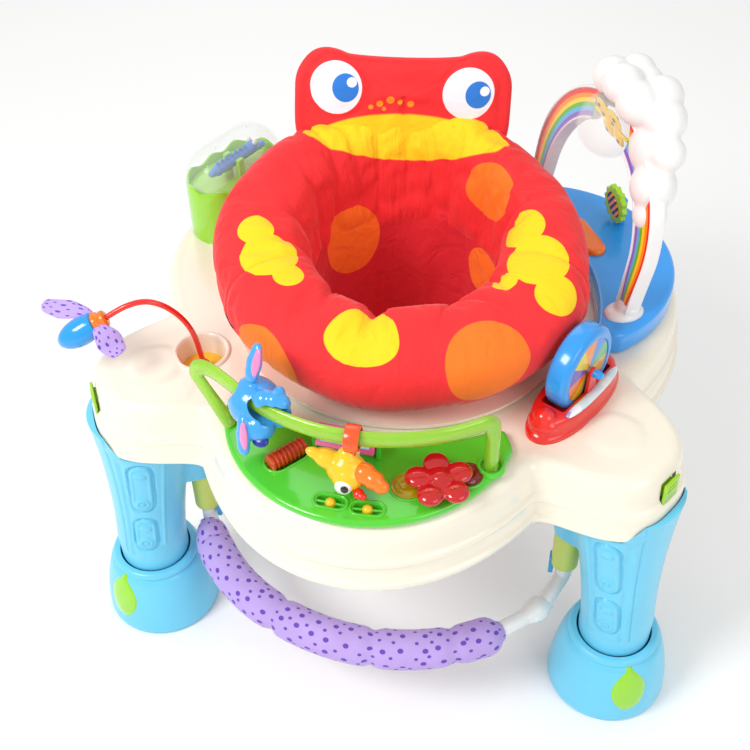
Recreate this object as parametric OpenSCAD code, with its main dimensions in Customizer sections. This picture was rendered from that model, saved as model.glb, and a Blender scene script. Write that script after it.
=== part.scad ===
// Activity jumper: a three-legged tray with a swivelling padded seat and toy stations.
// Lengths are millimetres. The floor is z = 0, +Z is up and the front of the tray faces -Y.
// Angles in plan are measured from the front, positive towards +X.

/* [Tray] */
// Height of the deck above the floor
deck_z = 404; // [390:1:430]
// Depth of the skirt below the deck
skirt_h = 82; // [76:1:95]
// Wall of the moulded shells
wall = 3; // [2:0.5:4]
// Mean radius of the outline
tray_r = 295; // [290:1:305]
// Swell of the outline at the toy stations
tray_swell = 38; // [30:1:44]
// Reach of a leg lobe beyond the axis of the leg's spigot
lobe_past = 46; // [40:1:54]
// Half angle of a leg lobe
lobe_half = 20; // [18:0.5:24]
// Radius of the seat well
well_r = 168; // [162:1:172]
// Radius of the shallow round bump on each leg lobe
bump_r = 31; // [24:1:34]
// Radius of the screws that hold the pan to the shell
screw_r = 1.8; // [1.5:0.1:2.2]

/* [Seat] */
// Turn of the seat on the tray in the resting pose
seat_yaw = 14; // [-30:1:30]
// Outer radius of the padded rim
pad_out_r = 212; // [204:1:213]
// Inner radius of the padded rim
pad_in_r = 108; // [100:1:116]
// Height of the padded rim at the front
pad_front_h = 112; // [90:1:125]
// Height of the padded rim at the back
pad_back_h = 172; // [150:1:185]
// Width of the headrest
head_w = 250; // [220:1:260]
// Height of the headrest
head_h = 104; // [90:1:120]
// Thickness of the headrest
head_t = 32; // [24:1:40]
// Backward lean of the headrest
head_lean = 14; // [8:1:24]
// Depth of the seat bucket below the deck
bucket_drop = 116; // [90:1:130]
// Thickness of the bucket's fabric and padding
bucket_t = 3; // [2:0.5:5]
// Radius of each leg hole in the bucket
leg_hole_r = 42; // [36:1:46]

/* [Legs] */
// Clearance from the padded rim to the axis of a leg's spigot
leg_clear = 106; // [102:1:110]
// How much further out the foot's axis stands than the spigot's
foot_out = 20; // [10:1:26]
// Radius of the collar under the tray
collar_r = 64; // [58:1:68]
// Radius of the column where it enters the foot
column_r = 42; // [38:1:44]
// Radius of the foot on the floor
foot_r = 72; // [66:1:80]
// Height of the foot
foot_h = 100; // [92:1:108]
// Radius of the spigot in the tray's socket
spigot_r = 28; // [24:1:28.5]
// Travel of the height setting
height_travel = 48; // [40:1:50]
// Number of height settings
height_steps = 3; // [2:1:4]
// Travel of the bounce
bounce_travel = 25; // [15:1:30]
// Wire of the bounce spring
spring_wire = 4; // [3:0.5:5]
// Turns of the bounce spring
spring_turns = 6; // [4:1:7]
// Push of a height button
button_push = 4; // [3:0.5:5]

/* [Bumper bar] */
// Height of the bar's bow above the floor
bow_z = 122; // [110:1:130]
// Radius of the bow in plan
bow_r = 255; // [245:1:262]
// Distance of the bow's centre in front of the seat axis
bow_fwd = 22; // [12:1:28]
// Radius of the tube
tube_r = 7; // [6:0.5:8]
// Radius of the padded sleeve
sleeve_r = 23; // [18:1:26]
// Radius of the ball where the bow turns up
knuckle_r = 14; // [12:1:16]
// Radius of the lime cuff that holds each end of the bar
cuff_r = 16; // [14:1:18]

/* [Toy panel] */
// Thickness of the panel on the deck
panel_t = 10; // [8:1:14]
// Inner radius of the panel and of the station base
panel_in_r = 219; // [217:1:222]
// Radius of the panel's outer arc
panel_arc_r = 157; // [155:1:159]
// Distance of that arc's centre from the seat axis
panel_arc_d = 172; // [170:1:173]
// Height of the toy bar above the panel
bar_h = 68; // [60:1:80]
// Radius of the toy bar
bar_r = 7.5; // [6:0.5:9]

/* [Stations] */
// Height of the blue base
station_h = 30; // [24:1:36]
// Outer radius of the rainbow arch
arch_r = 138; // [132:1:140]
// Width of the rainbow arch
arch_w = 38; // [34:1:42]
// Thickness of the rainbow arch
arch_t = 24; // [22:1:26]
// Lean of the arch away from the seat
arch_lean = 9; // [0:1:10]
// Length of the arch's straight legs
arch_leg = 60; // [56:1:64]
// Radius of the clear ball
ball_r = 33; // [30:1:34]
// Height of the crocodile's base
croc_h = 78; // [70:1:84]
// Half width of the crocodile's base
croc_r = 40; // [38:1:42]
// Distance between the centres of the base's round ends
croc_len = 58; // [50:1:64]
// Radius of the spinner wheel
wheel_r = 48; // [44:1:50]
// Thickness of the spinner wheel
wheel_t = 26; // [20:1:30]
// Radius of the round cup in the deck
cup_r = 28; // [25:1:30]
// Depth of the cup
cup_depth = 32; // [26:1:38]
// Radius of the bug's stalk
stalk_r = 5; // [4:0.5:6]

/* [Hidden] */
$fn = 48;

// Gap between curved faces of different bodies, and the radial play of a running fit
gap = 0.4;
play = 0.05;

// Plan angles of the legs and the stations
LEG_LEFT = -60;
LEG_RIGHT = 60;
LEG_REAR = 180;
STATION_A = 122;
CROC_A = -119.5;
CUP_A = -61;
BUG_A = -64;
SPIN_A = 62;

// Levels that pieces share
skirt_z = deck_z - skirt_h;
lip_h = 4;
lip_top = deck_z + lip_h;
lip_w = 16;
lip_drop = 30;
rim_flare = 9;
panel_z = deck_z + panel_t;
station_z = deck_z + station_h;
// A leg stands clear of the seat, its lobe follows it, and the cup stands clear of the yoke
// round the leg's socket
leg_r = pad_out_r + leg_clear;
lobe_out = leg_r + lobe_past - tray_r + tray_swell;
socket_r = spigot_r + wall;
yoke_in = socket_r + 0.8;
yoke_out = yoke_in + 4;
cup_gap = 10.2;
cup_d = leg_r - yoke_out - cup_r - wall - cup_gap;
// Centre of the round tip of the bug's outer wing: sideways, outwards; and its radius
WING_TIP = [-29, 151];
wing_tip_r = 12;

// The seat axis stands where the whole object's box is centred on the origin
wing_x = -cup_d * sin(CUP_A) - WING_TIP.x * cos(BUG_A) - WING_TIP.y * sin(BUG_A) + wing_tip_r;
left_reach = max(wing_x, foot_x(LEG_RIGHT) + foot_r);
right_reach = foot_x(LEG_RIGHT) + foot_r;
front_reach = outline(0) + rim_flare;
rear_reach = leg_r + foot_out + foot_r;
axis_x = (left_reach - right_reach) / 2;
axis_y = (front_reach - rear_reach) / 2;

lime = "#a4e02c";
cream = "#f4efdc";
sky = "#5fc6e6";
red = "#f5303c";
yellow = "#ffd023";
orange = "#ff8a1c";
blue = "#2c9df0";
white = "#f4f4f4";

// Point at plan angle a and radius r, and a frame there whose -Y points outwards
function polar(a, r, z = 0) = [r * sin(a), -r * cos(a), z];
function foot_x(a) = (leg_r + foot_out) * sin(a);
module at(a, r, z = 0) translate(polar(a, r, z)) rotate(a) children();
module stand() translate([axis_x, axis_y, 0]) children();

// Outline of the tray: three swells and three leg lobes
function off_lobe(a) = abs(((a % 120) + 120) % 120 - 60);
function lobe(a) = off_lobe(a) > lobe_half ? 0
    : 0.5 + 0.5 * cos(180 * pow(off_lobe(a) / lobe_half, 1.5));
function outline(a) = tray_r + tray_swell * cos(3 * a) + lobe_out * lobe(a);

// Skins: rings that run counterclockwise about the way they are stacked, closed or capped
function flat(lists) = [for (l = lists) each l];
function quads(n, m, rings) = [
    for (i = [0:rings - 1], j = [0:m - 1])
        let (a = i * m + j, b = i * m + (j + 1) % m,
             c = ((i + 1) % n) * m + (j + 1) % m, d = ((i + 1) % n) * m + j)
            each [[a, c, b], [a, d, c]]
];
function fan(first, m, turn) = [
    for (j = [1:m - 2]) turn ? [first, first + j + 1, first + j] : [first, first + j, first + j + 1]
];
module closed_skin(rings) {
    n = len(rings);
    polyhedron(flat(rings), quads(n, len(rings[0]), n), convexity = 8);
}
module capped_skin(rings) {
    n = len(rings);
    m = len(rings[0]);
    polyhedron(flat(rings), concat(quads(n, m, n - 1), fan(0, m, false), fan((n - 1) * m, m, true)),
        convexity = 8);
}
// Round rod between two points
module rod(p, q, r) {
    v = q - p;
    translate(p)
        rotate([0, acos(v.z / norm(v)), atan2(v.y, v.x)])
            cylinder(r = r, h = norm(v));
}
// Ring of a tube at point p whose run is along t
function ring_at(p, t, r, sides) =
    let (u = t / norm(t),
         s0 = abs(u.z) < 0.9 ? cross([0, 0, 1], u) : cross([0, 1, 0], u),
         s = s0 / norm(s0), w = cross(u, s))
    [for (k = [0:sides - 1]) p + r * (cos(360 * k / sides) * s + sin(360 * k / sides) * w)];

// Sweep of a profile round the tray. Each point is [from the outline?, offset, height].
TRAY_STEP = 4;
function tray_pt(a, p) = polar(a, (p[0] ? outline(a) : well_r) + p[1], p[2]);
module tray_sweep(profile)
    closed_skin([for (a = [0:TRAY_STEP:359]) [for (p = profile) tray_pt(a, p)]]);

button_w = 26;
button_h = 28;
button_z = deck_z - 30;
yoke_z = skirt_z + 14;
boss_r = 5;
screw_ring = tray_r - 30;
SCREW_A = [30, 90, 150, 210, 270, 330];
module tray_screw_places(z) {
    for (a = SCREW_A)
        at(a, screw_ring, z) children();
}
module tray_top_shell() color(cream) {
    in = -wall;
    difference() {
        union() {
            tray_sweep([
                [false, 0, deck_z - lip_drop], [false, 0, lip_top - 2], [false, 2, lip_top],
                [false, lip_w, lip_top], [false, lip_w + 6, deck_z],
                [true, -14, deck_z], [true, -5, deck_z - 3], [true, 0, deck_z - 11],
                [true, 1, deck_z - 40], [true, 5, deck_z - 45], [true, 5, deck_z - 52],
                [true, 3, deck_z - 56], [true, 5, skirt_z + 9], [true, rim_flare, skirt_z + 6],
                [true, rim_flare, skirt_z], [true, rim_flare + in, skirt_z],
                [true, 5 + in, skirt_z + 12], [true, 1 + in, deck_z - 42], [true, in, deck_z - 12],
                [true, in - 5, deck_z - 5 - wall / 2], [true, in - 12, deck_z - wall],
                [false, lip_w + 6 + wall, deck_z - wall], [false, lip_w + wall, lip_top - wall],
                [false, wall, lip_top - wall], [false, wall, deck_z - lip_drop]
            ]);
            tray_screw_places(skirt_z + 1 + wall)
                cylinder(r = boss_r, h = skirt_h - 1 - 2 * wall + 0.5);
            for (a = [LEG_LEFT, LEG_RIGHT, LEG_REAR])
                at(a, leg_r - 23, deck_z - 0.5)
                    cylinder(r1 = bump_r, r2 = bump_r - 9, h = 5);
            at(CUP_A, cup_d, deck_z - cup_depth)
                cylinder(r = cup_r + wall, h = cup_depth + 3);
        }
        tray_screw_places(skirt_z)
            cylinder(r = screw_r + play, h = 24);
        at(CUP_A, cup_d, deck_z - cup_depth - 1)
            cylinder(r = cup_r, h = cup_depth + 6);
        for (a = [LEG_LEFT, LEG_RIGHT, LEG_REAR])
            at(a, outline(a), button_z)
                cube([button_w + 1, 40, button_h + 1], center = true);
    }
}

module tray_bottom_pan() color(cream) {
    low = skirt_z + 1;
    top = deck_z - lip_drop - 1;
    edge = rim_flare - wall - 2;
    difference() {
        union() {
            tray_sweep([
                [false, 6, low], [false, 6, top], [false, 6 + wall, top], [false, 6 + wall, low + wall],
                [true, edge, low + wall], [true, edge, low]
            ]);
            for (a = [LEG_LEFT, LEG_RIGHT, LEG_REAR])
                at(a, leg_r, low)
                    cylinder(r = socket_r, h = skirt_h - 9);
        }
        for (a = [LEG_LEFT, LEG_RIGHT, LEG_REAR]) {
            at(a, leg_r, low - 1)
                cylinder(r = spigot_r + play, h = skirt_h);
            at(a, leg_r - socket_r, yoke_z)
                cube([tooth_w + 2, 14, button_plate + 2], center = true);
        }
        tray_screw_places(low - 1)
            cylinder(r = screw_r + 0.4, h = wall + 2);
    }
}

module tray_screws() color("silver") {
    head = 2.4;
    tray_screw_places(skirt_z + 1 - head) {
        cylinder(r = screw_r + 2.2, h = head);
        cylinder(r = screw_r, h = head + 20);
    }
}

box_d = tray_r - 33;
box_l = 92;
box_w = 52;
box_h = 40;
module battery_box() color("dimgray") {
    at(STATION_A, box_d, skirt_z + 1 + wall) {
        difference() {
            translate([-box_l / 2, -box_w / 2, 0])
                cube([box_l, box_w, box_h]);
            translate([-box_l / 2 + 2, -box_w / 2 + 2, -1])
                cube([box_l - 4, box_w - 4, box_h - 1]);
        }
        for (x = [-24, -8, 8, 24])
            translate([x, -box_w / 2 + 2, 9])
                rotate([-90, 0, 0])
                    cylinder(r = 7.1, h = box_w - 4);
    }
}

// The seat: a ring that hooks under the well lip, the padded rim, the bucket and the headrest
ring_z = lip_top + gap;
ring_t = 4;
sleeve_out = well_r - 2;
module seat_ring() color("whitesmoke") {
    hook_z = deck_z - lip_drop - gap;
    rotate_extrude()
        polygon([
            [sleeve_out - 5, hook_z - 5], [well_r + 4, hook_z - 5], [well_r + 4, hook_z],
            [sleeve_out, hook_z], [sleeve_out, ring_z], [well_r + 26, ring_z],
            [well_r + 26, ring_z + ring_t], [sleeve_out - 5, ring_z + ring_t]
        ]);
}

PAD_STEP = 7.5;
PAD_SIDES = 16;
pad_z = ring_z + ring_t + gap;
function back_share(a) = pow(0.5 - 0.5 * cos(a), 1.3);
function pad_top(a) = pad_z + pad_front_h + (pad_back_h - pad_front_h) * back_share(a);
function pad_outer(a) = pad_out_r - 26 * pow(back_share(a), 2);
function pucker(a) = 1 + 0.012 * cos(12 * a);
// Section of the padded rim: full at the top and outside, drawn in under the crown
function pad_pt(a, t) =
    let (half = (pad_outer(a) - pad_in_r) / 2,
         mid = pad_in_r + half,
         tall = (pad_top(a) - pad_z) / 2,
         swell = sin(t) > 0 ? 1 : 1 - 0.10 * pow(sin(t), 2))
    polar(a, mid + half * swell * pucker(a) * sign(cos(t)) * pow(abs(cos(t)), 0.8) - half * 0.012,
        pad_z + tall + tall * sign(sin(t)) * pow(abs(sin(t)), 0.85));
module seat_rim_pad() color(red) {
    closed_skin([for (a = [0:PAD_STEP:359]) [for (k = [0:PAD_SIDES - 1]) pad_pt(a, -k * 360 / PAD_SIDES)]]);
}

module seat_bucket() color("#e0222e") {
    hem = sleeve_out - 5 - gap;
    low = deck_z - bucket_drop;
    mouth = pad_in_r + 2;
    difference() {
        rotate_extrude()
            polygon([
                [0, low], [mouth - 34, low], [mouth - 8, low + 22], [mouth + bucket_t, deck_z - 34],
                [hem, deck_z - 20], [hem, ring_z + ring_t], [hem - bucket_t, ring_z + ring_t],
                [hem - bucket_t, deck_z - 20 + bucket_t], [mouth, deck_z - 34 + bucket_t],
                [mouth - 8 - bucket_t, low + 24], [mouth - 36, low + bucket_t], [0, low + bucket_t]
            ]);
        for (s = [-1, 1])
            translate([s * (leg_hole_r + 14), -14, low - 20])
                cylinder(r = leg_hole_r, h = 60);
    }
}

HEAD_STEP = 10;
// Outline of the headrest: a flat oval with a round swell over each eye
function head_pt(t, grow) =
    let (eye = exp(-pow((abs(90 - t) - 42) / 20, 2)),
         c = cos(t), s = sin(t))
    [grow * head_w / 2 * sign(c) * pow(abs(c), 0.62),
     grow * (head_h / 2 * sign(s) * pow(abs(s), 0.62) + (s > 0 ? eye * 9 : 0))];
HEAD_LEVELS = [1, 0.86, 0.5, 0, -0.5, -0.86, -1];
function head_grow(u) = 0.82 + 0.18 * sqrt(max(0, 1 - u * u));
head_set = 54;
head_r = pad_outer(180) - head_set;
// The headrest's seam is pressed into the rim
head_sink = 31;
module seat_headrest() color(red) {
    translate([0, head_r, pad_top(180) - head_sink])
        rotate([-head_lean, 0, 0])
            translate([0, 0, head_h / 2 + 1])
                capped_skin([for (u = HEAD_LEVELS) [for (t = [0:HEAD_STEP:359])
                    let (q = head_pt(t, head_grow(u))) [q.x, u * head_t / 2, q.y]]]);
}

// A leg: column with a spigot in the tray, foot, spring, lime drop and height button
column_top = skirt_z - 2;
cup_rise = 24;
plunge_z = foot_h + bounce_travel + 6;
ledge_t = 8;
flange_t = 7;
COLUMN_STEPS = 10;
COLUMN_SIDES = 30;
// Radius of the column from where it leaves the foot (t = 0) to the collar (t = 1)
function column_rad(t) = column_r + 0.6 + (collar_r - column_r - 0.6) * pow(t, 2);
function column_ring(t, less) =
    let (z = plunge_z + (column_top + cup_rise - plunge_z) * t, r = column_rad(t) - less,
         y = -foot_out * (1 - t))
    [for (k = [0:COLUMN_SIDES - 1]) [r * cos(k * 360 / COLUMN_SIDES), y + r * sin(k * 360 / COLUMN_SIDES), z]];
module column_loft(less, from, to) {
    n = COLUMN_STEPS;
    capped_skin([for (i = [0:n]) column_ring(from + (to - from) * i / n, less)]);
}
groove_w = 10;
groove_d = 4;
tooth_w = groove_w - 1;
button_plate = 6;
// Places of the bumper bar's cuff on the leg: inwards, sideways, low and high
cuff_in = 55;
cuff_side = 9;
cuff_low = 166;
cuff_top = 227;
function loft_t(z) = (z - plunge_z) / (column_top + cup_rise - plunge_z);
// Room for the tray's lobe over the column: what stays above is a cup on the outer side
cup_back = 41;
module tray_room(a) {
    translate([0, 0, column_top])
        linear_extrude(cup_rise + 1) {
            polygon([for (q = [0:TRAY_STEP:359]) let (p = polar(q, outline(q) + rim_flare + 0.6)) [p.x, p.y]]);
            at(a, leg_r)
                translate([-collar_r - 10, -cup_back])
                    square([2 * collar_r + 20, 2 * collar_r + 10]);
        }
}
// A front leg swells inwards over the cuff, in a corbel with a nearly flat underside
corbel_reach = 34;
corbel_h = 58;
COLUMN_Z = [
    plunge_z, plunge_z + 32, cuff_top - 36, cuff_top - 1.4, cuff_top, cuff_top + 14, cuff_top + 28,
    cuff_top + 42, cuff_top + corbel_h, cuff_top + 78, cuff_top + 96, column_top + cup_rise
];
function corbel_share(z) =
    z < cuff_top ? 0 : pow(cos(90 * min(1, max(0, z - cuff_top - 6) / (corbel_h - 6))), 0.9);
function swollen_ring(z, side) =
    let (t = loft_t(z), y = -foot_out * (1 - t),
         aim = atan2(cuff_in - y, side * cuff_side))
    [for (k = [0:COLUMN_SIDES - 1])
        let (q = k * 360 / COLUMN_SIDES,
             r = column_rad(t) + corbel_reach * corbel_share(z) * exp(-pow((q - aim) / 19, 4)))
        [r * cos(q), y + r * sin(q), z]];
module column_skin(side) {
    if (side == 0)
        column_loft(0, 0, 1);
    else
        capped_skin([for (z = COLUMN_Z) swollen_ring(z, side)]);
}
module leg_column(a, side) color(sky) {
    foot_z = foot_h - ledge_t - flange_t - gap;
    plate = 6;
    spigot_top = deck_z - 14;
    difference() {
        at(a, leg_r) {
            difference() {
                union() {
                    column_skin(side);
                    translate([0, -foot_out, foot_z]) {
                        cylinder(r = column_r + 3.4, h = flange_t);
                        cylinder(r = column_r, h = plunge_z - foot_z + 0.5);
                    }
                }
                column_loft(wall + 1, 0, loft_t(column_top - plate));
                translate([0, -foot_out, foot_z + plate])
                    cylinder(r = column_r - wall - 1.5, h = plunge_z - foot_z - plate + 1);
            }
        }
        tray_room(a);
    }
    at(a, leg_r)
        difference() {
            translate([0, 0, column_top - 1])
                cylinder(r = spigot_r, h = spigot_top - column_top + 1);
            translate([0, 0, column_top + 6])
                cylinder(r = spigot_r - 10, h = spigot_top - column_top);
            // Groove that the button's tooth rides in, with a deeper pocket at each setting
            translate([-groove_w / 2, spigot_r - groove_d, column_top + 4])
                cube([groove_w, groove_d + 2, spigot_top]);
            for (i = [0:height_steps - 1])
                translate([-groove_w / 2, spigot_r - groove_d - 1.5, yoke_z - button_plate / 2 - 1
                    + i * height_travel / (height_steps - 1)])
                    cube([groove_w, groove_d, button_plate + 2]);
        }
}

ring_r = column_r + 8;
FOOT_STEPS = 9;
// Radius of the foot's dome at height z
function dome(z) = ring_r + (foot_r - ring_r) * pow(max(0, 1 - pow(z / foot_h, 1.8)), 0.75);
module foot(a) color(sky) {
    floor_t = 5;
    inner_top = foot_h - ledge_t;
    at(a, leg_r + foot_out)
        rotate_extrude()
            polygon(concat(
                [[0, 0], [foot_r - 2, 0]],
                [for (i = [0:FOOT_STEPS]) let (z = 3 + (foot_h - 9) * i / FOOT_STEPS) [dome(z), z]],
                [[ring_r + 3, foot_h - 3], [ring_r + 1, foot_h], [column_r + gap, foot_h],
                 [column_r + gap, inner_top]],
                [for (i = [0:FOOT_STEPS]) let (z = inner_top + (floor_t - inner_top) * i / FOOT_STEPS)
                    [max(column_r + 4, dome(z) - wall - 1), z]],
                [[0, floor_t]]
            ));
}
drop_t = 3;
// The front drops are turned towards the front of the tray
drop_turn = 35;
module foot_drop(a, turn) color(lime) {
    low = 16;
    drop_r = 15;
    drop_h = 56;
    at(a, leg_r + foot_out)
        rotate(turn)
        intersection() {
            rotate_extrude()
                polygon(concat(
                    [for (z = [6:8:86]) [dome(z) + 0.2, z]],
                    [for (z = [86:-8:6]) [dome(z) + drop_t, z]]
                ));
            translate([0, 0, low + drop_r])
                rotate([90, 0, 0])
                    linear_extrude(foot_r + 20)
                        union() {
                            circle(r = drop_r);
                            polygon([[-drop_r * 0.96, 4], [drop_r * 0.96, 4], [2, drop_h - drop_r],
                                [-2, drop_h - drop_r]]);
                        }
        }
}

SPRING_RINGS = 8;
SPRING_SIDES = 6;
spring_r = column_r - 12;
spring_low = 5 + spring_wire / 2 + 0.3;
spring_high = foot_h - ledge_t - flange_t - gap - spring_wire / 2 - 0.3;
function spring_at(u) = [spring_r * cos(360 * u * spring_turns), spring_r * sin(360 * u * spring_turns),
    spring_low + (spring_high - spring_low) * u];
module bounce_spring(a) color("silver") {
    n = spring_turns * SPRING_RINGS;
    at(a, leg_r + foot_out)
        capped_skin([for (i = [0:n]) ring_at(spring_at(i / n),
            spring_at((i + 0.5) / n) - spring_at((i - 0.5) / n), spring_wire / 2, SPRING_SIDES)]);
}

// Yoke round the socket: a push on the paddle draws the tooth out of the spigot's groove
module height_button(a) color(lime) {
    face = outline(a) + 3 - leg_r;
    shift = button_push + 0.4;
    at(a, leg_r) {
        translate([-button_w / 2, -face, button_z - button_h / 2])
            cube([button_w, 10, button_h]);
        translate([-8, -face + 7, yoke_z - button_plate / 2])
            cube([16, 4, button_z - yoke_z + button_plate / 2]);
        translate([0, 0, yoke_z - button_plate / 2]) {
            difference() {
                union() {
                    for (y = [0, -shift])
                        translate([0, y, 0])
                            cylinder(r = yoke_out, h = button_plate);
                    translate([-8, -face + 7, 0])
                        cube([16, 12, button_plate]);
                }
                for (y = [0, -shift])
                    translate([0, y, -1])
                        cylinder(r = yoke_in, h = button_plate + 2);
            }
            translate([-tooth_w / 2, spigot_r - groove_d + 1, 0])
                cube([tooth_w, yoke_in - spigot_r + groove_d + 1, button_plate]);
        }
    }
}

// Bumper bar: a bow between the front legs, turned up into a lime cuff under each corbel
BOW_A = 53;
riser_z = cuff_low - 24;
tube_in = 44;
function cuff_at(s, z) = [
    s * ((leg_r - cuff_in) * sin(LEG_RIGHT) - cuff_side * cos(LEG_RIGHT)),
    -(leg_r - cuff_in) * cos(LEG_RIGHT) - cuff_side * sin(LEG_RIGHT), z];
function bow_pt(f) = [bow_r * sin(f), -bow_fwd - bow_r * cos(f), bow_z];
function bow_dir(f) = [cos(f), sin(f), 0];
module bumper_tube() color(white) {
    translate([0, -bow_fwd, bow_z])
        rotate(-90 - BOW_A)
            rotate_extrude(angle = 2 * BOW_A)
                translate([bow_r, 0])
                    circle(r = tube_r);
    for (s = [-1, 1]) {
        knee = bow_pt(s * BOW_A);
        mouth = cuff_at(s, riser_z);
        translate(knee)
            sphere(r = s > 0 ? knuckle_r : tube_r + 0.4);
        rod(knee, mouth, tube_r);
        translate(mouth)
            sphere(r = tube_r + 0.4);
        translate(mouth)
            cylinder(r = tube_r, h = cuff_low - riser_z + tube_in);
    }
}

SLEEVE_FROM = -51;
SLEEVE_TO = 39;
SLEEVE_RINGS = 30;
SLEEVE_SIDES = 12;
PUCKERS = [-23, 4, 25];
sleeve_bore = (tube_r + 0.6) / cos(180 / SLEEVE_SIDES);
// Swell of the sleeve along its run: drawn in at both ends and at three soft puckers
function dent(f, p) = 1 - 0.13 * exp(-pow((f - p) / 2.2, 2));
function sleeve_swell(f) = dent(f, PUCKERS[0]) * dent(f, PUCKERS[1]) * dent(f, PUCKERS[2])
    * sqrt(max(0.2, 1 - pow(max(0, 1 - min(f - SLEEVE_FROM, SLEEVE_TO - f) / 5), 2)));
function sleeve_f(i) = SLEEVE_FROM + (SLEEVE_TO - SLEEVE_FROM) * i / SLEEVE_RINGS;
function sleeve_ring(f, r) = ring_at(bow_pt(f), bow_dir(f), r, SLEEVE_SIDES);
module bumper_sleeve() color("#b79ae0") {
    n = SLEEVE_RINGS;
    closed_skin(concat(
        [for (i = [0:n]) sleeve_ring(sleeve_f(i), sleeve_r * sleeve_swell(sleeve_f(i)))],
        [for (i = [n:-1:0]) sleeve_ring(sleeve_f(i), sleeve_bore)]));
}

// Clip beside the tube, in a slot of the cuff on the side towards the middle
clip_t = 6;
clip_w = 12;
clip_low = cuff_low - 18;
clip_h = 30;
clip_push = 2;
clip_off = tube_r + clip_push + 0.5;
// The cuff's top is pressed into the corbel
cuff_sink = 3;
module bumper_socket(s) color("#cfe05a") {
    difference() {
        translate(cuff_at(s, cuff_low))
            cylinder(r = cuff_r, h = cuff_top - cuff_low + cuff_sink);
        translate(cuff_at(s, cuff_low - 1))
            cylinder(r = tube_r + play, h = tube_in + 2);
        translate(cuff_at(s, cuff_low - 1))
            translate([-s * (tube_r + 8), 0, 0])
                cube([16, clip_w + 0.8, 2 * (clip_low + clip_h - cuff_low + 1.4)], center = true);
    }
}
module bumper_button(s) color("#35a8e8") {
    translate(cuff_at(s, clip_low))
        translate([-s * (clip_off + clip_t / 2) - clip_t / 2, -clip_w / 2, 0])
            cube([clip_t, clip_w, clip_h]);
}

// Crescent between the seat and the tray's edge, blunt at both ends
module crescent(h, arc_r) {
    linear_extrude(h)
        difference() {
            intersection() {
                translate([0, -panel_arc_d])
                    circle(r = arc_r);
                translate([0, -panel_arc_d - 88])
                    circle(r = arc_r + 10);
            }
            circle(r = panel_in_r);
        }
}

// Places on the toy panel: plan angle and radius
FLOWER = [18.8, 283];
ROLLER = [-15, 268];
DRUM = [-2.6, 236];
BEADS = [[-2.05, 307], [5, 309]];
LENSES = [[12.4, 278], [25.2, 270]];
pin_r = 2.5;
roller_turn = 65;
roller_r = 10;
roller_l = 44;
roller_z = panel_z + 4;
drum_r = 14;
drum_l = 62;
drum_z = panel_z + drum_r + 1;
ear_t = 5;
flower_z = panel_z + 8;
flower_t = 14;
bead_r = 5.5;
bead_travel = 8;
bead_z = panel_z - 2;
slot_l = 30;
rail_r = 1.5;
// Pair of ears for a pin along the local X axis, l apart, with the pin h above the panel
module ears(l, h) {
    for (s = [-1, 1])
        translate([s * (l + ear_t) / 2 - ear_t / 2, 0, 0]) {
            translate([0, -6, -1])
                cube([ear_t, 12, h + 1]);
            translate([0, 0, h])
                rotate([0, 90, 0])
                    cylinder(r = 6, h = ear_t);
        }
}
module along_x(r, l) rotate([0, 90, 0]) cylinder(r = r, h = l, center = true);
module slot(l, w, h) {
    linear_extrude(h)
        union() {
            square([l - w, w], center = true);
            for (s = [-1, 1])
                translate([s * (l - w) / 2, 0])
                    circle(r = w / 2);
        }
}
module toy_panel() color("#52cc3a") {
    difference() {
        union() {
            translate([0, 0, deck_z])
                crescent(panel_t, panel_arc_r);
            at(ROLLER[0], ROLLER[1], panel_z)
                rotate(roller_turn)
                    ears(roller_l + 1.2, roller_z - panel_z);
            at(DRUM[0], DRUM[1], panel_z)
                ears(drum_l + 1.2, drum_z - panel_z);
            at(FLOWER[0], FLOWER[1], panel_z - 1)
                cylinder(r = 6, h = flower_z - panel_z + 0.6);
        }
        at(ROLLER[0], ROLLER[1], roller_z)
            rotate(roller_turn) {
                along_x(pin_r + play, roller_l + 30);
                translate([0, 0, -roller_r - 1 + 15])
                    cube([roller_l + 1.2, 2 * roller_r + 3, 30], center = true);
            }
        at(DRUM[0], DRUM[1], drum_z)
            along_x(pin_r + play, drum_l + 30);
        at(FLOWER[0], FLOWER[1], panel_z - 5)
            cylinder(r = pin_r + play, h = 40);
        for (b = BEADS)
            at(b[0], b[1], bead_z - bead_r - 0.5)
                slot(slot_l, 2 * bead_r + 2, 20);
    }
    for (b = BEADS)
        at(b[0], b[1], bead_z)
            along_x(rail_r, slot_l + 3);
}
module bead(b) color(yellow) {
    at(b[0], b[1], bead_z)
        rotate([0, 90, 0])
            difference() {
                sphere(r = bead_r);
                cylinder(r = rail_r + play, h = 4 * bead_r, center = true);
            }
}
module lens(l, r, c) color(c) {
    at(l[0], l[1], panel_z) {
        cylinder(r = r, h = 2);
        translate([0, 0, 1.9])
            cylinder(r1 = r - 2, r2 = r - 6, h = 3);
    }
}
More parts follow.
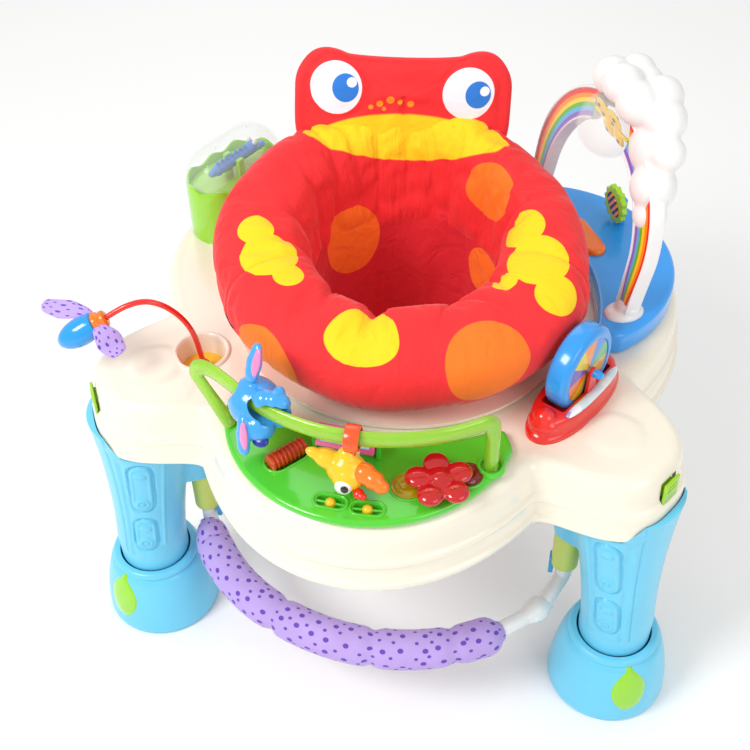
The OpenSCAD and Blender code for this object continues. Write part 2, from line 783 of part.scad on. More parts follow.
// Five round petals and a button, on a pin in the panel's post
module flower_spinner() color("#f0282c") {
    petal = 13;
    at(FLOWER[0], FLOWER[1], flower_z) {
        for (k = [0:4])
            rotate(72 * k + 20)
                translate([23, 0, 0])
                    cylinder(r = petal, h = flower_t - 2);
        cylinder(r = 18, h = flower_t - 2);
        cylinder(r = 9, h = flower_t);
        translate([0, 0, -11])
            cylinder(r = pin_r, h = 12);
    }
}
module ridged_roller() color("#e8481c") {
    ribs = 9;
    pitch = roller_l / ribs;
    at(ROLLER[0], ROLLER[1], roller_z)
        rotate(roller_turn) {
            along_x(pin_r, roller_l + 9);
            rotate([0, 90, 0])
                translate([0, 0, -roller_l / 2])
                    rotate_extrude()
                        polygon(concat([[0, 0]],
                            flat([for (i = [0:ribs - 1]) [[roller_r - 2, i * pitch],
                                [roller_r, (i + 0.25) * pitch], [roller_r, (i + 0.75) * pitch],
                                [roller_r - 2, (i + 1) * pitch - 0.05]]]),
                            [[0, roller_l - 0.05]]));
        }
}
module picture_drum() color("#f06a9c") {
    at(DRUM[0], DRUM[1], drum_z) {
        along_x(pin_r, drum_l + 9);
        rotate([0, 90, 0])
            rotate(160)
                cylinder(r = drum_r, h = drum_l, center = true, $fn = 3);
    }
}

// Toy bar: an arc on two posts over the panel
bar_z = panel_z + bar_h;
BAR_A = 41;
bar_arc_r = 208;
bar_arc_d = 72;
function bar_pt(f) = [bar_arc_r * sin(f), -bar_arc_d - bar_arc_r * cos(f), bar_z];
module on_bar(f) translate(bar_pt(f)) rotate(f) children();
module toy_bar() color(lime) {
    translate([0, -bar_arc_d, bar_z])
        rotate(-90 - BAR_A)
            rotate_extrude(angle = 2 * BAR_A)
                translate([bar_arc_r, 0])
                    circle(r = bar_r);
    for (s = [-1, 1]) {
        top = bar_pt(s * BAR_A);
        translate(top)
            sphere(r = bar_r + 0.4);
        translate([top.x, top.y, panel_z])
            cylinder(r = bar_r, h = bar_h);
    }
}
ELEPHANT_F = -30;
TOUCAN_F = 2;
module elephant() color("#46aef0") {
    on_bar(ELEPHANT_F)
        difference() {
            union() {
                rotate([0, 90, 0])
                    sphere(r = 27);
                translate([8, -15, -17])
                    sphere(r = 19);
                translate([-4, 12, 30])
                    rotate([64, 0, 20])
                        cylinder(r = 16, h = 8, center = true);
                translate([-14, -22, -26])
                    rotate([30, 50, 0])
                        cylinder(r = 14, h = 8, center = true);
                rod([18, 8, 12], [34, 12, 14], 9);
                translate([34, 12, 14])
                    sphere(r = 9.4);
                rod([34, 12, 14], [36, 10, -8], 7.5);
            }
            along_x(bar_r + 2.2, 58);
            for (s = [-1, 1])
                translate([s * 43.5, 0, 0])
                    along_x(bar_r + 5.5, 32);
        }
}
strap_r = bar_r + 3.5;
bird_z = -41;
bird_r = 22;
module toucan_body() color(yellow) {
    on_bar(TOUCAN_F)
        translate([-4, 0, bird_z]) {
            sphere(r = bird_r);
            translate([0, 0, 14])
                cylinder(r = 9, h = 9);
            rotate([0, -110, 0])
                cylinder(r1 = 15, r2 = 5, h = 38);
        }
}
module toucan_beak() color(orange) {
    on_bar(TOUCAN_F)
        translate([-4, 0, bird_z])
            difference() {
                translate([14, -3, 3])
                    rotate([0, 96, -8])
                        cylinder(r1 = 13, r2 = 4, h = 26);
                sphere(r = bird_r + 0.1);
            }
}
module toucan_strap() color("#f26a1c") {
    on_bar(TOUCAN_F)
        difference() {
            union() {
                along_x(strap_r, 15);
                translate([-9, -5, bird_z + 23])
                    cube([12, 10, 14]);
            }
            along_x(bar_r + 0.5, 40);
        }
}

// Spinner: a boat-shaped base with a wheel on a steel pin
spin_d = 234;
spin_turn = 1;
boat_l = 150;
boat_w = 60;
boat_h = 26;
wheel_z = deck_z + wheel_r + 4;
WHEEL_OFF = [4, 1];
axle_r = 3;
cheek_t = 5;
// Bowed sides that would meet in a point beyond each end, and blunt round ends
module boat(l, w, h) {
    bow = 1.25 * l;
    r = (bow * bow / 4 + w * w / 4) / w;
    intersection() {
        slot(l, w, h);
        linear_extrude(h)
            intersection() {
                translate([0, r - w / 2])
                    circle(r = r);
                translate([0, w / 2 - r])
                    circle(r = r);
            }
    }
}
module at_spinner(z) at(SPIN_A, spin_d, z) rotate(spin_turn) children();
module at_wheel(z) at_spinner(z) translate([WHEEL_OFF.x, WHEEL_OFF.y, 0]) children();
module along_y(r, l) rotate([90, 0, 0]) cylinder(r = r, h = l, center = true);
module spinner_base() color("#f03030") {
    difference() {
        union() {
            at_spinner(deck_z)
                boat(boat_l, boat_w, boat_h);
            for (s = [-1, 1])
                at_wheel(0)
                    translate([0, s * (wheel_t / 2 + 1 + cheek_t / 2), 0]) {
                        translate([0, 0, wheel_z])
                            along_y(9, cheek_t);
                        translate([-9, -cheek_t / 2, deck_z])
                            cube([18, cheek_t, wheel_z - deck_z]);
                    }
        }
        at_wheel(wheel_z) {
            along_y(wheel_r + 2, wheel_t + 2);
            along_y(axle_r + 0.03, boat_w);
        }
        at(LEG_RIGHT, leg_r - 23, deck_z - 1)
            cylinder(r = bump_r + 0.5, h = 6.5);
    }
}
module spinner_wheel() color("#3aa6ee") {
    at_wheel(wheel_z)
        difference() {
            union() {
                along_y(wheel_r, wheel_t - 8);
                along_y(wheel_r - 4, wheel_t);
            }
            along_y(axle_r + play, wheel_t + 2);
        }
}
module wheel_axle() color("silver") {
    at_wheel(wheel_z)
        along_y(axle_r, wheel_t + 2 + 2 * cheek_t);
}

// Rainbow station: base, arch, cloud with a clear ball, press pad and striped disc
arch_d = 246;
ball_d = arch_d - 6;
ball_up = 170;
hub_r = ball_r + 7;
pad_x = 19;
pad_d = 238;
pad_l = 74;
pad_w = 26;
pad_push = 4;
pad_rise = 6;
dial_x = 35;
dial_d = 283;
dial_r = 24;
dial_t = 7;
dial_z = station_z + 28;
spindle_r = 3;
// The arch leans about the ball's height, so that its feet stand nearer the seat than its top
foot_in = ball_up * sin(arch_lean);
arch_foot = 10;
module at_station(x, r, z) translate([0, 0, z]) rotate(STATION_A) translate([x, -r, 0]) children();
module at_arch()
    at_station(0, arch_d, station_z + ball_up)
        rotate([arch_lean, 0, 0])
            translate([0, 0, -ball_up])
                children();
module station_base() color(blue) {
    difference() {
        union() {
            translate([0, 0, deck_z])
                rotate(STATION_A)
                    crescent(station_h, panel_arc_r - 2);
            for (s = [-1, 1])
                at_station(s * (arch_r - arch_w / 2), arch_d - foot_in, deck_z)
                    cylinder(r = 25, h = station_h);
            at_station(dial_x, dial_d + dial_t / 2 + 5, station_z - 1)
                translate([-8, -4, 0])
                    cube([16, 8, dial_z - station_z + 9]);
        }
        at_station(pad_x, pad_d, station_z - 20)
            slot(pad_l + 1, pad_w + 1, 40);
        at_station(dial_x, dial_d, dial_z)
            along_y(pin_r + play, 60);
    }
}
module arch_shape(grow) {
    out = arch_r + grow;
    in = arch_r - arch_w - grow;
    difference() {
        union() {
            intersection() {
                translate([0, arch_leg])
                    circle(r = out);
                translate([-2 * out, arch_leg])
                    square([4 * out, 4 * out]);
            }
            translate([-out, -arch_foot])
                square([2 * out, arch_leg + arch_foot + 0.01]);
            translate([0, ball_up])
                circle(r = hub_r + grow);
        }
        difference() {
            union() {
                translate([0, arch_leg])
                    circle(r = in);
                translate([-in, -arch_foot - 1])
                    square([2 * in, arch_leg + arch_foot + 1]);
            }
            translate([0, ball_up])
                circle(r = hub_r + grow);
        }
    }
}
module rainbow_arch() color(white) {
    difference() {
        at_arch()
            rotate([90, 0, 0])
                linear_extrude(arch_t, center = true)
                    arch_shape(0);
        at_station(0, ball_d, station_z + ball_up) {
            sphere(r = ball_r + 1);
            along_x(spindle_r + play, 2 * hub_r + 20);
        }
        // The legs end on the base
        at_station(0, arch_d, station_z - 2 * arch_foot)
            translate([-arch_r - 20, -4 * arch_t, 0])
                cube([2 * arch_r + 40, 8 * arch_t, 2 * arch_foot]);
    }
}
// Puffs of the cloud: sideways, inwards, up from the station's top, radius
PUFFS = [[0, -8, 186, 38], [-38, -8, 170, 34], [38, -8, 170, 34], [-22, -8, 212, 34], [24, -8, 212, 34],
    [-60, -8, 142, 26], [60, -8, 142, 26]];
module cloud() color(white) {
    difference() {
        at_station(0, arch_d, station_z)
            for (p = PUFFS)
                translate([p[0], p[1], p[2]])
                    sphere(r = p[3]);
        at_arch()
            rotate([90, 0, 0])
                linear_extrude(arch_t + 0.4, center = true)
                    arch_shape(0.2);
        at_station(0, ball_d, station_z + ball_up)
            sphere(r = ball_r + 1.2);
    }
}
module bubble() color([0.85, 0.95, 1, 0.4]) {
    at_station(0, ball_d, station_z + ball_up)
        difference() {
            sphere(r = ball_r);
            sphere(r = ball_r - 2);
            along_x(spindle_r + 0.03, 3 * ball_r);
        }
}
module butterfly() color(yellow) {
    at_station(0, ball_d, station_z + ball_up) {
        along_x(spindle_r, 2 * hub_r - 3);
        rotate([70, 0, 0])
            linear_extrude(3, center = true)
                union() {
                    for (s = [-1, 1]) {
                        translate([s * 11, 8])
                            circle(r = 11);
                        translate([s * 9, -9])
                            circle(r = 9);
                    }
                    square([12, 24], center = true);
                }
    }
}
module music_button() color(orange) {
    at_station(pad_x, pad_d, station_z - 20 + pad_push + 1)
        slot(pad_l, pad_w, 20 - pad_push - 1 + pad_rise);
}
module dial() color("#8fd62c") {
    at_station(dial_x, dial_d, dial_z) {
        along_y(dial_r, dial_t);
        translate([0, -7, 0])
            along_y(pin_r, 14);
    }
}

// Crocodile under a clear dome
croc_d = 283;
croc_turn = 4;
croc_z = deck_z + croc_h;
croc_sink = 10;
croc_up = 6;
module at_croc(z) at(CROC_A, croc_d, z) rotate(croc_turn) children();
module capsule(r) {
    along_x(r, croc_len);
    for (s = [-1, 1])
        translate([s * croc_len / 2, 0, 0])
            sphere(r = r);
}
module croc_base() color(lime) {
    rim = 4;
    inner = croc_len + 2 * (croc_r - rim);
    at_croc(deck_z) {
        difference() {
            slot(croc_len + 2 * croc_r, 2 * croc_r, croc_h);
            translate([0, 0, croc_h - croc_sink])
                slot(inner, 2 * (croc_r - rim), croc_sink + 10);
            translate([0, 0, -1])
                slot(inner, 2 * (croc_r - rim), croc_h - croc_sink - rim + 1);
        }
        difference() {
            for (s = [-1, 1])
                translate([-5, s * 11 - 3, croc_h - croc_sink - 1])
                    cube([10, 6, croc_sink + croc_up + 6]);
            translate([0, 0, croc_h + croc_up])
                along_y(pin_r + play, 60);
        }
    }
}
module croc_dome() color([0.9, 0.97, 1, 0.35]) {
    below = croc_len + 2 * croc_r + 20;
    at_croc(croc_z)
        difference() {
            capsule(croc_r);
            capsule(croc_r - 2);
            translate([-below / 2, -below / 2, -below])
                cube(below);
        }
}
module croc() color("#28a0e8") {
    at_croc(croc_z + croc_up) {
        along_x(7, 66);
        translate([-33, 0, 3])
            sphere(r = 9);
        translate([33, 0, 0])
            sphere(r = 7.4);
        translate([-42, 0, -1])
            along_x(6, 16);
        for (x = [-14:9:22])
            translate([x, 0, 7])
                sphere(r = 4);
        along_y(pin_r, 26);
    }
}

// Bug on a bowed stalk that turns in the round cup
cup_low = deck_z - cup_depth;
stalk_ball_r = 8;
stalk_ball_z = cup_low + 12;
STALK = [[0, 4], [1, 16], [5, 46], [14, 71], [30, 93], [50, 105], [72, 103], [95, 92]];
STALK_END = len(STALK) - 1;
module at_cup(z) translate(polar(CUP_A, cup_d, z)) rotate(BUG_A) children();
module cup_insert() color(yellow) {
    at_cup(0)
        difference() {
            union() {
                translate([0, 0, cup_low - 4])
                    cylinder(r = cup_r + wall, h = 4);
                translate([0, 0, cup_low - 1])
                    cylinder(r = cup_r - 0.2, h = 13);
            }
            translate([0, 0, stalk_ball_z])
                sphere(r = stalk_ball_r + 0.4);
            translate([0, 0, cup_low + 5])
                cylinder(r1 = 6, r2 = cup_r - 3, h = 7.5);
        }
}
function stalk_pt(i) = [0, -STALK[i][0], stalk_ball_z + STALK[i][1]];
function stalk_run(i) = stalk_pt(min(STALK_END, i + 1)) - stalk_pt(max(0, i - 1));
module stalk() color("#e82028") {
    at_cup(0) {
        translate([0, 0, stalk_ball_z])
            sphere(r = stalk_ball_r);
        capped_skin([for (i = [0:STALK_END]) ring_at(stalk_pt(i), stalk_run(i), stalk_r, 12)]);
    }
}
bug_dip = atan2(STALK[STALK_END - 1][1] - STALK[STALK_END][1], STALK[STALK_END][0] - STALK[STALK_END - 1][0]);
collar_l = 14;
BUG_SHAPE = [[0, 0], [12.5, 0], [15, 8], [16, 20], [14, 32], [9, 42], [4, 46], [0, 46]];
module at_bug() at_cup(0) translate(stalk_pt(STALK_END)) rotate([90 + bug_dip, 0, 0]) children();
module bug_collar() color(orange) {
    at_bug()
        cylinder(r1 = 8, r2 = 12.5, h = collar_l);
}
module bug_body() color("#18a0e0") {
    at_bug()
        translate([0, 0, collar_l])
            rotate_extrude()
                polygon(BUG_SHAPE);
}
// Two leaf-shaped cloth wings, one swept outwards and one hanging by the collar
wing_t = 5;
wing_z = stalk_ball_z + 78;
module bug_wings() color("#c0a6e6") {
    difference() {
        union() {
            at_cup(wing_z)
                linear_extrude(wing_t)
                    union() {
                        translate([WING_TIP.x, -WING_TIP.y])
                            circle(r = wing_tip_r);
                        polygon([[-6, -112], [-6, -130], [WING_TIP.x + 6, -WING_TIP.y - 10],
                            [WING_TIP.x - 11, -WING_TIP.y + 4]]);
                    }
            at_cup(0)
                translate([0, -112, stalk_ball_z + 60])
                    rotate([90, 0, 0])
                        linear_extrude(wing_t, center = true)
                            union() {
                                translate([28, -6])
                                    circle(r = 15);
                                polygon([[4, 28], [24, 26], [42, 0], [17, -16]]);
                            }
        }
        at_bug() {
            translate([0, 0, -1])
                cylinder(r1 = 8.4, r2 = 12.8, h = collar_l + 1);
            translate([0, 0, collar_l])
                cylinder(r = 16.3, h = 60);
        }
    }
}

module seat_frame() stand() rotate(seat_yaw) children();
stand() tray_top_shell();
stand() tray_bottom_pan();
stand() tray_screws();
stand() battery_box();
seat_frame() seat_ring();
seat_frame() seat_rim_pad();
seat_frame() seat_bucket();
seat_frame() seat_headrest();
stand() leg_column(LEG_LEFT, 1);  // leg_column_left
stand() leg_column(LEG_RIGHT, -1);  // leg_column_right
stand() leg_column(LEG_REAR, 0);  // leg_column_rear
stand() foot(LEG_LEFT);  // foot_left
stand() foot(LEG_RIGHT);  // foot_right
stand() foot(LEG_REAR);  // foot_rear
stand() foot_drop(LEG_LEFT, drop_turn);  // foot_drop_left
stand() foot_drop(LEG_RIGHT, -drop_turn);  // foot_drop_right
stand() foot_drop(LEG_REAR, 0);  // foot_drop_rear
stand() bounce_spring(LEG_LEFT);  // bounce_spring_left
stand() bounce_spring(LEG_RIGHT);  // bounce_spring_right
stand() bounce_spring(LEG_REAR);  // bounce_spring_rear
stand() height_button(LEG_LEFT);  // height_button_left
stand() height_button(LEG_RIGHT);  // height_button_right
stand() height_button(LEG_REAR);  // height_button_rear
stand() bumper_tube();
stand() bumper_sleeve();
stand() bumper_socket(-1);  // bumper_socket_left
stand() bumper_socket(1);  // bumper_socket_right
stand() bumper_button(-1);  // bumper_button_left
stand() bumper_button(1);  // bumper_button_right
stand() toy_panel();
stand() toy_bar();
stand() elephant();
stand() toucan_body();
stand() toucan_beak();
stand() toucan_strap();
stand() flower_spinner();
stand() lens(LENSES[0], 17, "#e0c000");  // amber_lens
stand() lens(LENSES[1], 16, "#a01c20");  // ruby_lens
stand() ridged_roller();
stand() picture_drum();
stand() bead(BEADS[0]);  // bead_left
stand() bead(BEADS[1]);  // bead_right
stand() spinner_base();
stand() spinner_wheel();
stand() wheel_axle();
stand() station_base();
stand() rainbow_arch();
stand() cloud();
stand() bubble();
stand() butterfly();
stand() music_button();
stand() dial();
stand() croc_base();
stand() croc_dome();
stand() croc();
stand() cup_insert();
stand() stalk();
stand() bug_body();
stand() bug_collar();
stand() bug_wings();
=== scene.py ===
import math
import bpy
from mathutils import Matrix, Vector


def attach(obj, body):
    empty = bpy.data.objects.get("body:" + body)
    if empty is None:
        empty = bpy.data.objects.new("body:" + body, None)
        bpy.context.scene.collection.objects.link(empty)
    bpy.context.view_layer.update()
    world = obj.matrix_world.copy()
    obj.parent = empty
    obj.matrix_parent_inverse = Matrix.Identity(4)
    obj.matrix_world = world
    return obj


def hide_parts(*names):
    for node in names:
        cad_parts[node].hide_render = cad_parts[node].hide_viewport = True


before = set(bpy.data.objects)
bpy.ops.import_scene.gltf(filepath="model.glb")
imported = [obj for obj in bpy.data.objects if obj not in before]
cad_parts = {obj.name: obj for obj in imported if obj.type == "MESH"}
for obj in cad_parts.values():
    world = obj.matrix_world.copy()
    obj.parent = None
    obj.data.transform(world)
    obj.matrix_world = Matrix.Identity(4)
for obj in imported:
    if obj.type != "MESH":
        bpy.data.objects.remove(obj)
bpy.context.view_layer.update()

# Lengths are in millimetres about the seat's swivel axis, with the floor at 0, the front towards -Y
# and plan angles from the front towards +X. spot() turns them into the shared frame's metres.
SEAT_AXIS = (0.0032487, -0.034)
DECK = 404
SEAT_YAW = 14
# The legs' plan angles, and how far out their spigots and their feet stand
LEGS = {"left": -60, "right": 60, "rear": 180}
LEG_R, FOOT_R = 318, 338


def sn(a):
    return math.sin(math.radians(a))


def cs(a):
    return math.cos(math.radians(a))


def spot(p):
    return Vector((SEAT_AXIS[0] + p[0] / 1000, SEAT_AXIS[1] + p[1] / 1000, p[2] / 1000))


def signed(c, power):
    return math.copysign(abs(c) ** power, c)


def polar(a, r, z=0):
    return Vector((r * sn(a), -r * cs(a), z))


def turn(a, axis="Z"):
    return Matrix.Rotation(math.radians(a), 4, axis)


def move(x, y, z):
    return Matrix.Translation(Vector((x, y, z)))


def at(a, r, z=0, twist=0):
    return Matrix.Translation(polar(a, r, z)) @ turn(a + twist)


# ---- Camera: the photograph's viewing angle, as a 750 x 750 frame ----
def camera():
    azimuth, height, roll, distance, focal = 13.852, 44.023, -1.294, 1472.4, 1199.4
    back = Vector((sn(azimuth) * cs(height), -cs(azimuth) * cs(height), sn(height)))
    side = Vector((cs(azimuth), sn(azimuth), 0))
    up = back.cross(side)
    across = side * cs(roll) + up * sn(roll)
    upright = up * cs(roll) - side * sn(roll)
    target = side * -37.2 + Vector((0, 0, 300.7))
    bpy.ops.object.camera_add()
    eye = bpy.context.object
    eye.name = "photo_camera"
    eye.data.sensor_width = 36
    eye.data.lens = 36 * focal / 750
    eye.data.clip_end = 20
    eye.matrix_world = Matrix.Translation(spot(target + back * distance)) @ Matrix(
        (across, upright, back)).transposed().to_4x4()
    bpy.context.scene.camera = eye


# ---- Finishes ----
def hue(code):
    tone = []
    for i in (1, 3, 5):
        c = int(code[i:i + 2], 16) / 255
        tone.append(c / 12.92 if c <= 0.04045 else ((c + 0.055) / 1.055) ** 2.4)
    return (*tone, 1.0)


def plug(tree, node, values):
    for key, value in values.items():
        if isinstance(value, bpy.types.NodeSocket):
            tree.links.new(value, node.inputs[key])
        else:
            node.inputs[key].default_value = value


def add(tree, kind, values=None, **settings):
    made = tree.nodes.new(kind)
    for key, value in settings.items():
        setattr(made, key, value)
    plug(tree, made, values or {})
    return made


def new_finish(name):
    stuff = bpy.data.materials.new(name)
    stuff.use_nodes = True
    tree = stuff.node_tree
    return stuff, tree, tree.nodes["Principled BSDF"]


def coords(tree, kind="Object"):
    return add(tree, "ShaderNodeTexCoord").outputs[kind]


# Noise with lumps of about this width
def noise(tree, place, width, detail=2.0, distortion=0.0):
    return add(tree, "ShaderNodeTexNoise", {"Vector": place, "Scale": 1 / width, "Detail": detail,
                                            "Distortion": distortion}).outputs["Fac"]


def ranged(tree, value, low, high, end="To"):
    return add(tree, "ShaderNodeMapRange", {"Value": value, end + " Min": low,
                                            end + " Max": high}).outputs["Result"]


def mixed(tree, share, one, two):
    return add(tree, "ShaderNodeMixRGB", {"Fac": share, "Color1": one, "Color2": two}).outputs["Color"]


# The place seen in a pattern's own frame
def framed(tree, place, centre, size=(1, 1, 1), rotation=(0, 0, 0)):
    return add(tree, "ShaderNodeMapping", {"Vector": place, "Location": centre, "Rotation": rotation,
                                           "Scale": size}, vector_type="TEXTURE").outputs["Vector"]


def length_of(tree, vector):
    return add(tree, "ShaderNodeVectorMath", {0: vector}, operation="LENGTH").outputs["Value"]


def split(tree, vector, axis):
    return add(tree, "ShaderNodeSeparateXYZ", {"Vector": vector}).outputs[axis]


def maths(tree, operation, *values):
    return add(tree, "ShaderNodeMath", dict(enumerate(values)), operation=operation).outputs["Value"]


# Injection-moulded plastic: faint clouding of the pigment over hands' breadths, a fine orange peel
# about 0.7 mm across (drawn at 1.4 mm so that it shows), and gloss that handling has made uneven.
def moulded(name, code, rough=0.3, coat=0.0, peel=0.05, glassy=0.0, cloud=0.1):
    stuff, tree, skin = new_finish(name)
    place = coords(tree)
    tone = hue(code)
    deep = (*[c * (1 - cloud) for c in tone[:3]], 1)
    bump = add(tree, "ShaderNodeBump", {"Height": noise(tree, place, 0.0014, 1.0), "Strength": peel,
                                        "Distance": 0.0004})
    plug(tree, skin, {
        "Base Color": mixed(tree, noise(tree, place, 0.055, 3.0), tone, deep),
        "Roughness": ranged(tree, noise(tree, place, 0.018, 4.0), rough * 0.8, rough * 1.25),
        "Normal": bump.outputs["Normal"], "IOR": 1.49, "Coat Weight": coat, "Coat Roughness": 0.06,
        "Transmission Weight": glassy})
    return stuff


# Printed patches on cloth: each row is a centre, three radii, a turn and a colour, in millimetres.
PRINT_EDGE = 0.6


def printed(tree, place, ground, rows):
    colour = ground
    for centre, radii, tilt, code in rows:
        local = framed(tree, place, spot(centre), [r / 1000 for r in radii], tilt)
        edge = ranged(tree, length_of(tree, local), 1.0, 1 - PRINT_EDGE / min(radii), "From")
        colour = mixed(tree, edge, colour, hue(code))
    return colour


# Patches given in the cover's own coordinates, so that they keep their outline over the folds: angle
# round the rim, angle round its section, the two half widths and the section angle that the patch
# starts from, in degrees, and a colour.
def sewn_on(rows):
    def draw(tree, ground):
        colour = ground
        flat = coords(tree, "UV")
        section = split(tree, flat, "Y")
        for a, t, wide, tall, start, code in rows:
            local = framed(tree, flat, (a / 360, t / 360, 0), (wide / 360, tall / 360, 1))
            edge = ranged(tree, length_of(tree, local), 1.0, 0.98, "From")
            front = ranged(tree, section, (start - 1) / 360, start / 360, "From")
            colour = mixed(tree, maths(tree, "MULTIPLY", edge, front), colour, hue(code))
        return colour
    return draw


# Brushed polyester over wadding: threads 0.5 mm apart drawn 1.6 mm apart so that they show, a
# matt nap with a soft sheen, and shallow creases 25 mm across where the wadding has settled. Where
# the cover is pulled tight, the creases follow its own coordinates instead.
THREAD = 0.0016


def cloth(name, code, rows=(), crease=0.5, spots=None, pulled=None):
    stuff, tree, skin = new_finish(name)
    place = coords(tree)
    wear = noise(tree, place, 0.04, 5.0)
    tone = hue(code)
    worn = (tone[0] * 0.86, tone[1] * 0.8, tone[2] * 0.8, 1)
    colour = printed(tree, place, mixed(tree, wear, tone, worn), rows)
    if spots:
        colour = spots(tree, colour)
    threads = [add(tree, "ShaderNodeTexWave", {"Vector": place, "Scale": 1 / THREAD / 3.14,
                                               "Distortion": 0.6}, bands_direction=way).outputs["Fac"]
               for way in ("X", "Z")]
    if pulled:
        flat = add(tree, "ShaderNodeMapping", {"Vector": coords(tree, "UV"), "Scale": (*pulled, 1)})
        settle = noise(tree, flat.outputs["Vector"], 1.0, 3.0, 0.6)
    else:
        settle = noise(tree, place, 0.025, 2.0, 0.8)
    fold = add(tree, "ShaderNodeBump", {"Height": settle, "Strength": crease, "Distance": 0.006})
    bump = add(tree, "ShaderNodeBump", {"Height": maths(tree, "ADD", *threads), "Strength": 0.12,
                                        "Distance": 0.0004, "Normal": fold.outputs["Normal"]})
    plug(tree, skin, {"Base Color": colour, "Normal": bump.outputs["Normal"],
                      "Roughness": ranged(tree, wear, 0.62, 0.82), "Sheen Weight": 0.18,
                      "Sheen Roughness": 0.4, "Specular IOR Level": 0.3})
    return stuff


# Round spots 5 and 3 mm across on the lilac cotton, in a loose grid of 18 mm cells; cells counts
# them round the piece and along it.
def dotted(cells):
    def draw(tree, ground):
        colour = ground
        flat = coords(tree, "UV")
        for share, shift in ((0.15, 0.0), (0.095, 0.5)):
            grid = add(tree, "ShaderNodeMapping", {"Vector": flat, "Location": (shift, shift, 0),
                                                   "Scale": (*cells, 1)})
            cell = add(tree, "ShaderNodeTexVoronoi", {"Vector": grid.outputs["Vector"], "Scale": 1.0,
                                                      "Randomness": 0.4}, voronoi_dimensions="2D")
            edge = ranged(tree, cell.outputs["Distance"], share + 0.02, share, "From")
            colour = mixed(tree, edge, colour, hue("#6a45b4"))
        return colour
    return draw


# Printed paper behind a clear cover: flat ink, a hard clear gloss over it.
def under_cover(name, colour_of):
    stuff, tree, skin = new_finish(name)
    place = coords(tree)
    plug(tree, skin, {"Base Color": colour_of(tree, place),
                      "Roughness": ranged(tree, noise(tree, place, 0.002), 0.28, 0.42),
                      "Coat Weight": 0.8, "Coat Roughness": 0.05})
    return stuff


def banded(tree, factor, shades):
    bands = add(tree, "ShaderNodeValToRGB", {"Fac": factor})
    bands.color_ramp.interpolation = "CONSTANT"
    marks = bands.color_ramp.elements
    for i, code in enumerate(shades):
        mark = marks[i] if i < 2 else marks.new(i / len(shades))
        mark.position = i / len(shades)
        mark.color = hue(code)
    return bands.outputs["Color"]


def seen_on(tree, place, put):
    return framed(tree, place, spot(put.translation), rotation=tuple(put.to_euler()))


def card_blobs(tree, place):
    cell = add(tree, "ShaderNodeTexVoronoi", {"Vector": place, "Scale": 1 / 0.011}).outputs["Color"]
    return banded(tree, split(tree, cell, "X"),
                  ["#e4eef2", "#cfe4ea", "#8cc45a", "#eef4f4", "#b8a4d8", "#dcebee"])


def wheel_wedges(tree, place):
    local = seen_on(tree, place, at_wheel(WHEEL_Z) @ turn(90, "X"))
    sweep = add(tree, "ShaderNodeTexGradient", {"Vector": local}, gradient_type="RADIAL")
    return banded(tree, sweep.outputs["Fac"],
                  ["#f07a28", "#e8c22c", "#3a98ea", "#d8452c", "#f0b030", "#3fb46a", "#2f84dc", "#f0902c",
                   "#e2cc38", "#6a58c0"])


def rainbow_bands(tree, _place):
    return banded(tree, split(tree, coords(tree, "UV"), "Y"),
                  ["#8a5cc8", "#58b8ea", "#58c02c", "#ffd820", "#ff9418", "#ee3020"])


# Black and orange bands, a pair every 7.5 mm across the dial's leaf
def leaf_bands(tree, place):
    along = split(tree, seen_on(tree, place, at_dial() @ turn(LEAF_TURN)), "X")
    part = maths(tree, "FRACT", maths(tree, "MULTIPLY", along, 1 / 0.0075))
    return banded(tree, part, ["#f28a1c", "#1d1a18"])


# ---- Shaping ----
def clear():
    if bpy.context.object and bpy.context.object.mode != "OBJECT":
        bpy.ops.object.mode_set(mode="OBJECT")
    bpy.ops.object.select_all(action="DESELECT")


def pick(piece):
    clear()
    piece.select_set(True)
    bpy.context.view_layer.objects.active = piece


def smooth(piece, sharp):
    pick(piece)
    bpy.ops.object.shade_smooth_by_angle(angle=math.radians(sharp))


def weld(piece, sharp=40):
    pick(piece)
    bpy.ops.object.mode_set(mode="EDIT")
    bpy.ops.mesh.select_all(action="SELECT")
    bpy.ops.mesh.remove_doubles(threshold=0.00002)
    bpy.ops.mesh.normals_make_consistent(inside=False)
    bpy.ops.object.mode_set(mode="OBJECT")
    smooth(piece, sharp)


def apply(piece, kind, **settings):
    pick(piece)
    step = piece.modifiers.new(kind.lower(), kind)
    for key, value in settings.items():
        setattr(step, key, value)
    bpy.ops.object.modifier_apply(modifier=step.name)


# A sheet of quads laid over the surface that place(u, v) describes, in local millimetres.
def wrapped(name, across, along, place, put=Matrix(), sharp=40):
    clear()
    bpy.ops.mesh.primitive_grid_add(x_subdivisions=across, y_subdivisions=along, size=2)
    piece = bpy.context.object
    piece.name = piece.data.name = name
    for v in piece.data.vertices:
        v.co = spot(put @ Vector(place((v.co.x + 1) / 2, (v.co.y + 1) / 2)))
    weld(piece, sharp)
    return piece


# A profile of radius and height turned about the local Z axis.
def turned(name, profile, put=Matrix(), sides=48, sharp=40):
    last = len(profile) - 1

    def place(u, v):
        r, h = profile[round(v * last)]
        return (r * cs(360 * u), r * sn(360 * u), h)
    return wrapped(name, sides, last, place, put, sharp)


# A smooth run of points through the given ones.
def flowing(points, per=6):
    rows = [Vector(p) for p in points]
    out = []
    for i in range(len(rows) - 1):
        a, b = rows[max(0, i - 1)], rows[i]
        c, d = rows[i + 1], rows[min(len(rows) - 1, i + 2)]
        for k in range(per):
            t = k / per
            out.append(0.5 * ((2 * b) + (c - a) * t + (2 * a - 5 * b + 4 * c - d) * t * t
                              + (3 * b - a - 3 * c + d) * t ** 3))
    out.append(rows[-1])
    return out


